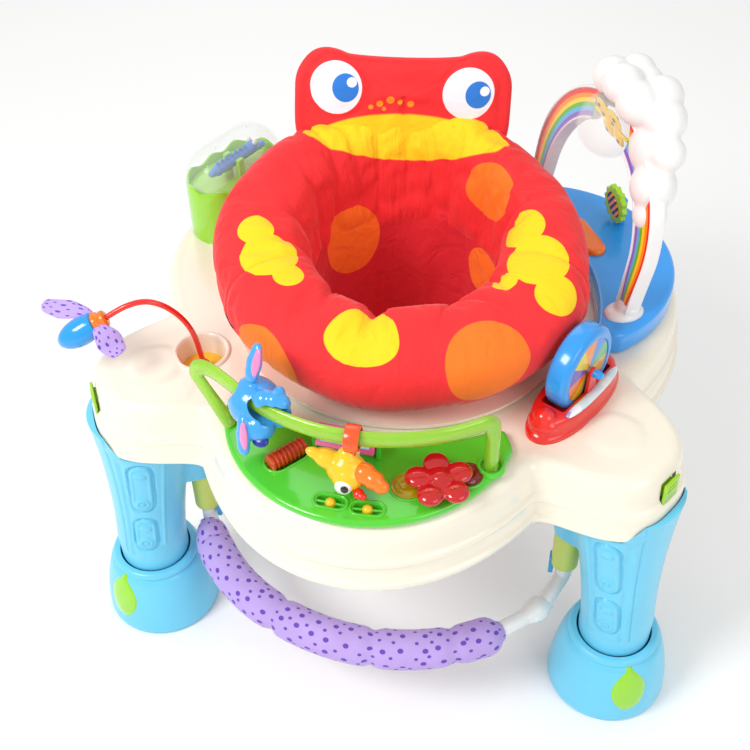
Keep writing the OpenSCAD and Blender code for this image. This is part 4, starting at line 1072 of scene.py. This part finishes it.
def elephant():
    put = on_bar(-30)
    up_ear = move(-6, 15, 36) @ turn(-28, "X") @ turn(-6, "Y")
    low_ear = move(11, -23, -26) @ turn(-16, "Y") @ turn(-17, "X")
    lumps = [((-3, 8, -10), (28, 27, 27)), ((14, -4, -22), (18, 17, 17)),
             ((18, 4, 10), (12, 12, 12)), ((28, 8, 13), (10, 10, 10)),
             ((35, 11, 11), (9, 9, 9.5)), ((37, 10, 0), (8.4, 8.4, 10)),
             ((35, 8, -9), (8.6, 8.6, 8)), ((27, 16, 18), (6, 6, 6))]
    for ear, tall in ((up_ear, 24), (low_ear, 23)):
        for z, wide, deep, share in ((-9, 8.5, 5.5, 0.5), (0, 10, 5, 0.6), (9, 7.5, 4.4, 0.55)):
            lumps.append((ear @ Vector((0, 0, z)), (wide, deep, tall * share), ear.to_3x3().to_4x4()))
    bore = [(0, -60), (14, -60), (14, -24), (12.4, -22), (12.4, 22), (14, 24), (14, 60), (0, 60)]
    hole = turned("cutter", bore, put @ turn(90, "Y"), 32)
    body = blended("elephant_body", lumps, put, 1.5, 4, [hole])
    fit(body, "elephant", ELEPHANT_BLUE, ["elephant"])
    for name, ear in (("upper", up_ear), ("lower", low_ear)):
        lining = blended("ear_lining_" + name, [((0, 0, 0), (5.6, 3.0, 14)), ((0, 0, 8), (4, 2.6, 9))],
                         put @ ear @ move(4.5, -2.6, 1), 0.9, 2)
        fit(lining, "elephant", EAR_PINK, ())
    mouth = blended("elephant_mouth", [((25, -13, -30), (9, 7, 4.2), turn(20) @ turn(30, "X"))], put, 0.9, 2)
    fit(mouth, "elephant", DEEP_BLUE, ())


def toucan():
    put = on_bar(2) @ move(-6, -2, -41)
    body = blended("toucan_feathers", [((0, -3, 0), (21, 16, 19)), ((0, 1, 14), (11, 9, 12)),
                                       ((-18, -1, 9), (17, 11, 10), turn(24, "Y")),
                                       ((-31, -2, 16), (11, 6, 6), turn(24, "Y")),
                                       ((2, -8, -3), (17, 16, 16))], put, 1.4, 4)
    fit(body, "toucan", YELLOW, ["toucan_body"])
    beak = blended("toucan_bill", [((19, -9, 4), (12, 11, 12)), ((29, -14, 2), (11, 9.5, 10)),
                                   ((37, -18, -2), (8.5, 7, 7.6))], put, 1.3, 3)
    fit(beak, "toucan", ORANGE, ["toucan_beak"])
    loop = turned("strap_loop", [(10.6, -7), (11.4, -7.6), (12.8, -7.4), (13.4, -6), (13.4, 6), (12.8, 7.4),
                                 (11.4, 7.6), (10.6, 7), (10.6, -7)], on_bar(2) @ turn(90, "Y"), 36)
    tab = plate("strap_tab", oblong(6, 5), -22, -11, 1.4, on_bar(2) @ move(-3, 0, 0))
    strap = joined("toucan_strap_loop", [loop, tab])
    fit(strap, "toucan", ORANGE_RED, ["toucan_strap"])
    claw = blended("toucan_foot", [((15, -21, -13), (6, 6, 5)), ((19, -24, -13), (5, 4, 4))], put, 0.9, 2)
    fit(claw, "toucan", RED, ())
    for side, eye, pupil in (("near", (0, -21, -6), (2, -25.6, -4.4)), ("far", (0, 17, 2), (2, 21, 3.4))):
        white = blended("toucan_eye_" + side, [(eye, (9, 5, 10), turn(20, "Y"))], put, 0.9, 2)
        fit(white, "toucan", WHITE, ())
        dot = blended("toucan_pupil_" + side, [(pupil, (4, 2.2, 4.6))], put, 0.6, 1)
        fit(dot, "toucan", BLACK, ())


# ---- Spinner ----
WHEEL_Z = 456


def at_spinner(z):
    return at(62, 234, z, 1)


def at_wheel(z):
    return at_spinner(z) @ move(4, 1, 0)


HULL = [(0, 404.1), (0.7, 404.1), (1, 404.1), (1, 408), (0.99, 409.6), (0.965, 410.6), (0.945, 412),
        (0.935, 417), (0.915, 423), (0.885, 427), (0.84, 429.3), (0.78, 430), (0.4, 430), (0, 430)]


def hull_point(u, v):
    share, z = HULL[round(v * (len(HULL) - 1))]
    c, s = cs(360 * u), sn(360 * u)
    return (75 * share * signed(c, 0.86), 30 * share * signed(s, 0.92), z)


def spinner():
    hull = wrapped("spinner_hull", 96, len(HULL) - 1, hull_point, at_spinner(0))
    cut_out(hull, plate("cutter", oblong(46, 14.4), 406.6, 480, 3, at_wheel(0)))
    cut_out(hull, plate("cutter", oval(31.6, 31.6), 400, 409, 0, at(LEGS["right"], BUMP[0])))
    cheeks = []
    shape = [(-12, 408), (12, 408), (8, 432), (6, WHEEL_Z)] + [
        (6 * cs(q), WHEEL_Z + 6 * sn(q)) for q in range(20, 180, 20)] + [(-6, WHEEL_Z), (-8, 432)]
    for s in (-1, 1):
        cheeks.append(plate("cheek", shape, -2.3, 2.3, 1.2,
                            at_wheel(0) @ move(0, s * 16.9, 0) @ turn(90, "X")))
    nose = blended("nose", [((-57, 0, 428), (11, 12, 10)), ((-56, 0, 420), (15, 18, 12))],
                   at_spinner(0), 1.4, 5)
    hull = joined("spinner_hull", [hull, nose] + cheeks)
    fit(hull, "tray", RED, ["spinner_base"])

    # Clear window that follows the outer side, over a card with plain blobs of colour
    def window(u, v):
        x = -46 + 96 * u
        half = 5.6 * max(0.02, 1 - ((x - 2) / 48.5) ** 4) ** 0.5
        return (x, -22.4 + 2.6 * (x / 48) ** 2 + half * (2 * v - 1), 430.2 + 1.6 * (1 - (2 * v - 1) ** 2))
    card = wrapped("spinner_window", 40, 8, window, at_spinner(0), 60)
    apply(card, "SOLIDIFY", thickness=0.0012, offset=0)
    fit(card, "tray", WINDOW_CARD, ())
    half = [(3.2, 11.4), (36.6, 11.4), (37, 12.6), (38, 13), (42, 12.6), (45, 11.4), (47.2, 9.4), (48, 7)]
    rim = half + [(r, -h) for r, h in reversed(half)] + [half[0]]
    wheel = turned("spinner_wheel_disc", rim, at_wheel(WHEEL_Z) @ turn(90, "X"), 96)
    fit(wheel, "spinner_wheel", WHEEL_BLUE, ["spinner_wheel"])
    card = [(3.4, 11.2), (36.2, 11.2), (36.2, 11.8), (35.4, 12.1), (3.4, 12.1), (3.4, 11.2)]
    for side, facing in (("front", turn(90, "X")), ("back", turn(-90, "X") @ turn(180))):
        disc = turned("wheel_sectors_" + side, card, at_wheel(WHEEL_Z) @ facing, 96)
        fit(disc, "spinner_wheel", WHEEL_SECTORS, ())
    peg = turned("axle_peg", [(0, 19), (4.8, 19), (4.8, 20), (4.2, 27), (3.2, 29.4), (0, 30)],
                 at_wheel(WHEEL_Z) @ turn(90, "X"))
    fit(peg, "tray", WHEEL_BLUE, ())


# ---- Rainbow station ----
STATION_YAW, STATION_TOP = 122, 434
DIAL_X, LEAF_TURN = 35, 35
PAD = (19, 238, 0)
# The arch leans 9 degrees inwards at its feet, about the ball's height.
BALL_UP, ARCH_LEAN, ARCH_OUT, ARCH_R = 170, 9, 246, 119
BALL_OUT, BALL_R, BALL_Z = 240, 38, STATION_TOP + BALL_UP
FOOT_OUT = ARCH_OUT - BALL_UP * sn(ARCH_LEAN)


def at_station(x, r, z):
    return move(0, 0, z) @ turn(STATION_YAW) @ move(x, -r, 0)


def at_dial():
    return at_station(DIAL_X, 283, 462) @ turn(90, "X")


def at_arch():
    return at_station(0, ARCH_OUT, BALL_Z) @ turn(ARCH_LEAN, "X") @ move(0, 0, -BALL_UP)


def at_arch_foot(s, z):
    return at_station(s * ARCH_R, FOOT_OUT, z)


def at_ball():
    return at_station(0, BALL_OUT, BALL_Z)


def arch_path(r, n=48):
    rows = [(-r, z) for z in (-9, 0, 15, 30, 45)]
    rows += [(-r * cs(180 * i / n), 60 + r * sn(180 * i / n)) for i in range(n + 1)]
    rows += [(r, z) for z in (45, 30, 15, 0, -9)]
    return rows


# Fills the open ends of a sheet.
def closed(piece):
    pick(piece)
    bpy.ops.object.mode_set(mode="EDIT")
    bpy.ops.mesh.select_all(action="DESELECT")
    bpy.ops.mesh.select_mode(type="EDGE")
    bpy.ops.mesh.select_non_manifold()
    bpy.ops.mesh.fill()
    bpy.ops.mesh.select_all(action="SELECT")
    bpy.ops.mesh.normals_make_consistent(inside=False)
    bpy.ops.object.mode_set(mode="OBJECT")


def ball_room(r):
    return turned("cutter", half_circle(r), at_ball(), 48)


def station_deck():
    base = plate("station_deck", crescent(155, 165, 219), DECK, STATION_TOP, 6, turn(STATION_YAW), 5)
    socks = [plate("sock", oval(25, 25), DECK, STATION_TOP, 5, at_arch_foot(s, 0), 5) for s in (-1, 1)]
    post = plate("dial_post", oblong(8, 4), 432, 470, 2.5, at_station(DIAL_X, 291.5, 0))
    base = joined("station_deck", [base, post] + socks)
    cut_out(base, plate("cutter", stadium(75, 27), 414, 450, 0, at_station(*PAD)))
    fit(base, "tray", BLUE, ["station_base"])


def rainbow():
    section = [(-19, -8), (-19, 6), (-18, 8.4), (-16.6, 8.8), (-15.4, 7.8), (-15, 6), (15, 6), (15.4, 7.8),
               (16.6, 8.8), (18, 8.4), (19, 6), (19, -8), (17, -9), (-17, -9), (-19, -8)]
    rows = arch_path(ARCH_R)
    last = len(rows) - 1

    def on_arch(k, across, deep):
        x, z = rows[k]
        ahead, behind = rows[min(last, k + 1)], rows[max(0, k - 1)]
        run = Vector((ahead[0] - behind[0], ahead[1] - behind[1])).normalized()
        return (x - run.y * across, deep, z + run.x * across)

    # The legs narrow towards the feet
    def slim(k):
        rise = min(1, max(0, rows[k][1] / 140))
        return 0.66 + 0.34 * rise * rise * (3 - 2 * rise)

    def place(u, v):
        k = round(u * last)
        across, deep = section[round(v * (len(section) - 1))]
        return on_arch(k, across * slim(k), deep)
    arch = wrapped("rainbow_arch_frame", last, len(section) - 1, place, at_arch(), 35)
    closed(arch)
    cut_out(arch, ball_room(BALL_R + 1.5))
    spoons = [blended("spoon", [((0, 2, 0), (18, 24, 8)), ((0, -2, 7), (15, 14, 10))],
                      at_arch_foot(s, STATION_TOP), 1.6, 6) for s in (-1, 1)]
    arch = joined("rainbow_arch_frame", [arch] + spoons)
    fit(arch, "tray", WHITE, ["rainbow_arch"])

    def strip(u, v):
        k = round(u * last)
        ease = min(1, max(0, min(k, last - k) - 0.4) / 4) ** 0.5
        return on_arch(k, (29.4 * v - 14.7) * ease * slim(k), 6.6)
    stripes = wrapped("rainbow_strip", last, 12, strip, at_arch(), 60)
    apply(stripes, "SOLIDIFY", thickness=0.0008, offset=0)
    cut_out(stripes, ball_room(BALL_R + 1.8))
    fit(stripes, "tray", RAINBOW, ())


# The cloud's puffs: centre in the arch's plane and radius; none is deeper than 25 mm
PUFFS = [(-4, -20, 206, 32), (-34, -18, 196, 35), (-62, -12, 174, 32), (-86, -8, 142, 27),
         (-98, -6, 114, 19), (24, -20, 202, 28), (-38, -20, 220, 24), (-84, -14, 180, 20),
         (42, -20, 186, 20), (-60, -16, 206, 24), (12, -16, 222, 22), (-8, 12, 222, 22),
         (16, 10, 218, 22), (-36, 6, 214, 24)]


def cloud():
    lumps = [((x, y, z), (r, min(r, 25), r)) for x, y, z, r in PUFFS]
    piece = blended("cloud_puffs", lumps, at_arch(), 2.2, 8)
    cut_out(piece, ball_room(BALL_R + 1.5))
    fit(piece, "tray", WHITE_SATIN, ["cloud"])


def ball_and_butterfly():
    ball = turned("clear_ball", half_circle(BALL_R), at_ball() @ turn(90, "Y"), 48)
    apply(ball, "SOLIDIFY", thickness=0.0018, offset=-1)
    fit(ball, "bubble", CLEAR, ["bubble"])
    fly_put = at_ball() @ turn(70, "X")
    wing = [blended("wing", [((s * 13, 12, 0), (15, 15, 2.4)), ((s * 11, -13, 0), (12.4, 12.4, 2.4))],
                    fly_put, 1.0, 2) for s in (-1, 1)]
    wing.append(blended("thorax", [((0, 0, 0), (3.8, 18, 3.8))], fly_put, 0.9, 2))
    wing.append(bar("rod", [(-36, 0, 0), (0, 0, 0), (36, 0, 0)], lambda t: (2.0, 2.0), at_ball(), 14))
    fit(joined("butterfly_wings", wing), "bubble", BUTTERFLY_YELLOW, ["butterfly"])
    dots = [turned("dot", [(0, -2.7), (2.6, -2.7), (2.6, 2.7), (0, 2.7)], fly_put @ move(x, y, 0), 20)
            for x, y in ((-17, 17), (17, 17), (-13, -16), (13, -16), (-11, 8), (11, 8))]
    fit(joined("butterfly_dots", dots), "bubble", BLACK, ())


def pad_and_dial():
    pad = plate("press_pad", stadium(74, 26, 16), 420, 440, 4.5, at_station(*PAD), 5)
    fit(pad, "music_button", ORANGE, ["music_button"])
    scallops = [(22.4 + 1.6 * cs(12 * q), q) for q in range(0, 360, 3)]
    disc = plate("scalloped_dial", [(r * cs(q), r * sn(q)) for r, q in scallops], -3.5, 3.5, 1.4, at_dial())
    pin = turned("dial_pin", [(0, -1), (2.4, -1), (2.4, 12), (0, 12)], at_dial())
    fit(joined("scalloped_dial", [disc, pin]), "dial", LIME, ["dial"])
    leaf = plate("dial_leaf", oval(17, 10), -4.6, -3.3, 0.5, at_dial() @ turn(LEAF_TURN))
    fit(leaf, "dial", LEAF_STRIPES, ())


# ---- Crocodile ----
BASIN = [(40, 0), (40, 60), (40, 70), (39.6, 76), (38.6, 78), (36.6, 78), (36, 76), (36, 68), (36, 10),
         (36, 0), (40, 0)]
BASIN_HALF, CROC_Z = 29, 488


def at_croc(z):
    return at(-119.5, 283, z, 4)


# A point u of the way round a stadium with ends of radius r
def shell_at(u, r):
    straight, bend = 2.0 * BASIN_HALF, math.pi * r
    d = u % 1 * (2 * straight + 2 * bend)
    s = 1
    if d >= straight + bend:
        d, s = d - straight - bend, -1
    if d < straight:
        return (s * (BASIN_HALF - d), s * r)
    a = math.degrees((d - straight) / max(r, 1e-6))
    return (s * (-BASIN_HALF - r * sn(a)), s * r * cs(a))


def crocodile():
    def wall(u, v):
        r, z = BASIN[round(v * (len(BASIN) - 1))]
        x, y = shell_at(u, r)
        if z > 69:  # the rim is wavy
            z += 3.0 * sn(360 * 9 * u) - 3.0
        return (x, y, z)
    body = wrapped("croc_basin", 180, len(BASIN) - 1, wall, at_croc(DECK))
    floor = plate("croc_floor", [shell_at(i / 90, 36.4) for i in range(90)], 62, 66, 1, at_croc(DECK))
    posts = [plate("croc_post", oblong(5, 3, y), 65, 90, 1.4, at_croc(DECK)) for y in (-11, 11)]
    fit(joined("croc_basin", [body, floor] + posts), "tray", LIME_GLOSS, ["croc_base"])

    def dome_shape(u, v):
        q = 90 * v
        x, y = shell_at(u, 39.6 * cs(q))
        return (x, y, 39.6 * sn(q))
    glass = wrapped("croc_clear_dome", 120, 18, dome_shape, at_croc(482.2), 60)
    apply(glass, "SOLIDIFY", thickness=0.0018, offset=-1)
    fit(glass, "tray", CLEAR, ["croc_dome"])
    lumps = [((x, 0, 0), (9, 7.5, 7)) for x in range(-28, 34, 8)]
    lumps += [((-34, 0, 2), (9, 8.6, 8)), ((-44, 0, -2), (9, 6.6, 4.6)), ((-50, 0, -2), (5, 5.6, 4.2)),
              ((36, 0, 0), (7, 5, 5))]
    lumps += [((x, 0, 8.4), (2.8, 2.2, 4.4)) for x in range(-20, 30, 8)]
    beast = blended("croc_body", lumps, at_croc(CROC_Z), 1.1, 2)
    pin = turned("croc_pin", [(0, -13), (2.4, -13), (2.4, 13), (0, 13)], at_croc(CROC_Z) @ turn(90, "X"))
    fit(joined("croc_body", [beast, pin]), "croc", CROC_BLUE, ["croc"])
    for side, y in (("near", -5), ("far", 5)):
        white = blended("croc_eye_" + side, [((-34, y, 10), (3.6, 3.2, 3.8))], at_croc(CROC_Z), 0.7, 1)
        fit(white, "croc", WHITE, ())


# ---- Bug on a stalk ----
# The stalk's run outwards and upwards from its knob
STALK = [(0, 4), (1, 16), (5, 46), (14, 71), (30, 93), (50, 105), (72, 103), (95, 92)]
STALK_YAW, KNOB_Z = -64, 384


def at_cup(z):
    return move(*polar(CUP[0], CUP[1], z)) @ turn(STALK_YAW)


def bug():
    path = flowing([(0, -o, KNOB_Z + u) for o, u in STALK], 5)
    stem = bar("stalk_stem", path, lambda t: (3.2, 3.2), at_cup(0), 16, (1, 0, 0))
    knob = turned("knob", [(0, -8)] + [(8 * sn(q), -8 * cs(q)) for q in range(12, 169, 12)]
                  + [(3.4, 8.4), (0, 8.6)], at_cup(KNOB_Z), 32)
    fit(joined("stalk_stem", [stem, knob]), "stalk", RED, ["stalk"])
    put = at_cup(0) @ move(0, -95, 476) @ turn(90 + 25.6, "X")
    collar = turned("bug_collar_ring", [(0, 0), (8, 0), (9.4, 1), (10, 4), (9, 6), (11, 8), (12.4, 11),
                                        (11.8, 13.4), (0, 14)], put)
    fit(collar, "stalk", ORANGE, ["bug_collar"])
    body = turned("bug_shell", [(0, 14), (12, 14), (13.4, 15), (14.6, 20), (15.4, 27), (15.8, 34), (15, 41),
                                (13, 48), (10, 54), (6, 58.4), (0, 60)], put, 40)
    fit(body, "stalk", BUG_BLUE, ["bug_body"])

    # Leaf-shaped cloth wings, stuffed a little, puckered where they meet the collar
    def leaf(root, tip, wide, thick, normal):
        root, run, normal = Vector(root), Vector(tip) - Vector(root), Vector(normal)
        side = run.cross(normal).normalized()

        def place(u, v):
            t = (1 - cs(180 * u)) / 2
            half = wide * (sn(180 * u) ** 0.75) * (0.8 + 0.35 * t) * (1 + 0.05 * sn(900 * u))
            face = 1 if v < 0.5 else -1
            q = (1 - 4 * v) if v < 0.5 else (4 * v - 3)
            lift = thick * math.sqrt(max(0, 1 - q * q)) * sn(180 * u) ** 0.5
            return root + run * t + side * (half * q) + normal * (face * lift + 2 * sn(360 * t))
        return place
    wings = joined("bug_cloth_wings", [wrapped("wing", 28, 24, leaf(*row), at_cup(0), 90) for row in (
        ((-9, -109, 475), (-37, -161, 478), 11.5, 2.6, (0.35, -0.1, 0.93)),
        ((8, -106, 474), (36, -86, 452), 14, 2.6, (0.62, 0.1, 0.78)))])
    fit(wings, "stalk", LILAC_WING, ["bug_wings"])


# ---- Floor and light ----
def studio():
    clear()
    bpy.ops.mesh.primitive_plane_add(size=12, location=(0, 0, -0.0006))
    floor = bpy.context.object
    floor.name = "studio_floor"
    stuff, tree, skin = new_finish("studio_paper")
    plug(tree, skin, {"Base Color": hue("#fcfcfb"), "Roughness": 0.9})
    floor.data.materials.append(stuff)
    world = bpy.data.worlds.new("studio_air")
    bpy.context.scene.world = world
    world.use_nodes = True
    plug(world.node_tree, world.node_tree.nodes["Background"], {"Color": (1, 1, 1, 1), "Strength": 0.7})
    for name, place, size, power in (("key", (-1.1, -1.3, 2.0), 0.8, 30), ("fill", (1.6, -1.2, 1.5), 1.2, 9),
                                     ("rear", (-0.6, 1.7, 2.0), 1.4, 7)):
        bpy.ops.object.light_add(type="AREA", location=place)
        lamp = bpy.context.object
        lamp.name = name + "_softbox"
        lamp.data.size = size
        lamp.data.energy = power
        lamp.rotation_euler = (Vector((0, 0, 0.35)) - Vector(place)).to_track_quat("-Z", "Y").to_euler()


camera()

CREAM = moulded("cream_polypropylene", "#f6eedb", 0.24, 0.4, 0.03, 0.0, 0.03)
SKY = moulded("sky_blue_polypropylene", "#6ed2f4", 0.3, 0.15, 0.06)
SKY_GLOSS = moulded("sky_blue_abs", "#3ea8dc", 0.25, 0.2)
LIME = moulded("lime_abs", "#a2d81e", 0.3, 0.2)
LIME_GLOSS = moulded("lime_gloss_abs", "#9ade28", 0.15, 0.5)
PALE_LIME = moulded("pale_lime_polypropylene", "#cfe06a", 0.4)
LIME_CLEAR = moulded("clear_lime_polycarbonate", "#b4ee42", 0.12, 0.4, 0.02, 0.4)
GREEN = moulded("leaf_green_abs", "#54d030", 0.16, 0.5)
WHITE = moulded("white_abs", "#f3f2f0", 0.25, 0.2)
WHITE_SATIN = moulded("white_satin_abs", "#f6f5f3", 0.32, 0.1)
RED = moulded("red_gloss_abs", "#f0261e", 0.16, 0.5)
RED_CLEAR = moulded("clear_red_polycarbonate", "#e81c20", 0.12, 0.5, 0.02, 0.35)
ORANGE_CLEAR = moulded("clear_orange_polycarbonate", "#ee4a10", 0.14, 0.5, 0.02, 0.3)
AMBER = moulded("clear_amber_polycarbonate", "#e8c800", 0.1, 0.5, 0.02, 0.4)
RUBY = moulded("clear_ruby_polycarbonate", "#a01c18", 0.1, 0.5, 0.02, 0.4)
BLUE = moulded("bright_blue_abs", "#2ea2fa", 0.18, 0.5)
ELEPHANT_BLUE = moulded("elephant_blue_abs", "#3ea4f0", 0.18, 0.5)
WHEEL_BLUE = moulded("wheel_blue_abs", "#2f9cf0", 0.2, 0.4)
BUG_BLUE = moulded("bug_blue_abs", "#1c9ae6", 0.15, 0.5)
CROC_BLUE = moulded("croc_blue_abs", "#2a90e0", 0.22, 0.4)
YELLOW = moulded("yellow_abs", "#ffc81e", 0.2, 0.4)
BUTTERFLY_YELLOW = moulded("butterfly_yellow_abs", "#ffe01e", 0.25, 0.3)
ORANGE = moulded("orange_abs", "#ff7d14", 0.2, 0.4)
ORANGE_RED = moulded("orange_red_abs", "#f2551c", 0.22, 0.4)
PINK = moulded("pink_abs", "#f0609a", 0.22, 0.4)
PALE_BLUE = moulded("pale_blue_card", "#a8dcf4", 0.4)
EAR_PINK = moulded("ear_pink_abs", "#f48cc4", 0.25, 0.3)
DEEP_BLUE = moulded("deep_blue_abs", "#16309a", 0.25, 0.3)
BLACK = moulded("black_abs", "#141416", 0.2, 0.4)
CLEAR = moulded("clear_polycarbonate", "#fbfdff", 0.04, 0.6, 0.0, 0.0, 0.0)
CLEAR.node_tree.nodes["Principled BSDF"].inputs["Alpha"].default_value = 0.11
GREY = moulded("grey_abs", "#6a6a6a", 0.4)
STEEL = moulded("zinc_plated_steel", "#c8c8c4", 0.28)
STEEL.node_tree.nodes["Principled BSDF"].inputs["Metallic"].default_value = 1.0

PATCH_YELLOW, PATCH_ORANGE = "#ffd41c", "#ff7a22"
CLOTH_RED = "#fa3236"


def balls(code, *rows):
    return [((x, y, z), (r, r, r), (0, 0, 0), code) for x, y, z, r in rows]


INNER_PATCH = [((-87, 78, 440), (40, 40, 48), (0, 0, 0), PATCH_ORANGE)]
RIM_PRINT = balls(PATCH_ORANGE, (121, -170, 498, 46), (-112, -184, 467, 46)) + INNER_PATCH
RIM_PRINT += balls(PATCH_ORANGE, (80, 77, 529, 34))
RIM_PRINT += balls(PATCH_YELLOW, (-128, -92, 540, 32), (-152, -60, 542, 20), (-100, -116, 536, 17),
                   (150, -40, 537, 34), (126, 6, 540, 26), (176, -78, 524, 24), (118, -70, 532, 16))
RIM_SEWN = [(176, 90, 49, 68, 80, PATCH_YELLOW), (344, 74, 12.4, 34, 1, PATCH_YELLOW)]
RIM_CLOTH = cloth("red_padded_polyester", CLOTH_RED, RIM_PRINT, 0.6, sewn_on(RIM_SEWN), (64, 9))
SLING_PRINT = INNER_PATCH + balls(PATCH_ORANGE, (70, 60, 420, 34))
SLING_CLOTH = cloth("red_sling_polyester", "#e42a36", SLING_PRINT, 0.8)

# The face: each spot's place across and up, its half width and half height, and its colour
EYE_WHITE, IRIS, GLINT, SPECK = "#f3f3fb", "#2f7fdc", "#fdfdfd", "#ff9a22"
FACE = [(-77.7, 9, 31, 32, EYE_WHITE), (-66, 9.4, 15.5, 17, IRIS), (-59, 16, 6, 6, GLINT),
        (73.5, 5.5, 31, 31.5, EYE_WHITE), (84, 4.8, 15.5, 16.5, IRIS), (91, 9, 6, 6, GLINT)]
SPECKS = [(-37, -12, 3.2), (-27, -8, 4.2), (-15, -3, 5), (-4, -5, 3.4), (8, -7, 4.2), (-22, -14, 2.8)]
HEAD_TILT = tuple((turn(SEAT_YAW) @ HEAD_LEAN).to_euler())
HEAD_PRINT = [((0, -20, -150), (190, 36, 133), PATCH_YELLOW)]
HEAD_PRINT += [((x, -22, z), (wide, 30, tall), code) for x, z, wide, tall, code in FACE]
HEAD_PRINT += [((x, -20, z), (size, 24, size), SPECK) for x, z, size in SPECKS]
HEAD_PRINT = [(HEAD_PUT @ Vector(centre), radii, HEAD_TILT, code) for centre, radii, code in HEAD_PRINT]
HEAD_CLOTH = cloth("red_headrest_polyester", CLOTH_RED, HEAD_PRINT, 0.3)
LILAC = cloth("lilac_dotted_cotton", "#c0a8ec", (), 0.35, dotted((8, 24)))
LILAC_WING = cloth("lilac_wing_cotton", "#c0a8ec", (), 0.3, dotted((4, 6)))

LEAF_STRIPES = under_cover("printed_leaf_card", leaf_bands)
RAINBOW = under_cover("rainbow_printed_pvc", rainbow_bands)
WINDOW_CARD = under_cover("printed_card_under_clear_cover", card_blobs)
WHEEL_SECTORS = under_cover("printed_wheel_card", wheel_wedges)

for build in (tray, height_buttons, legs, seat, bumper, toy_panel, lenses, flower, roller, drum, beads,
              toy_bar, elephant, toucan, spinner, station_deck, rainbow, cloud, ball_and_butterfly,
              pad_and_dial, crocodile, bug):
    build()
for node, stuff in (("tray_bottom_pan", CREAM), ("tray_screws", STEEL), ("battery_box", GREY),
                    ("seat_ring", CREAM), ("wheel_axle", STEEL), ("bounce_spring_left", STEEL),
                    ("bounce_spring_right", STEEL), ("bounce_spring_rear", STEEL)):
    dress(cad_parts[node], stuff)
studio()
bpy.context.scene.view_settings.view_transform = "Standard"
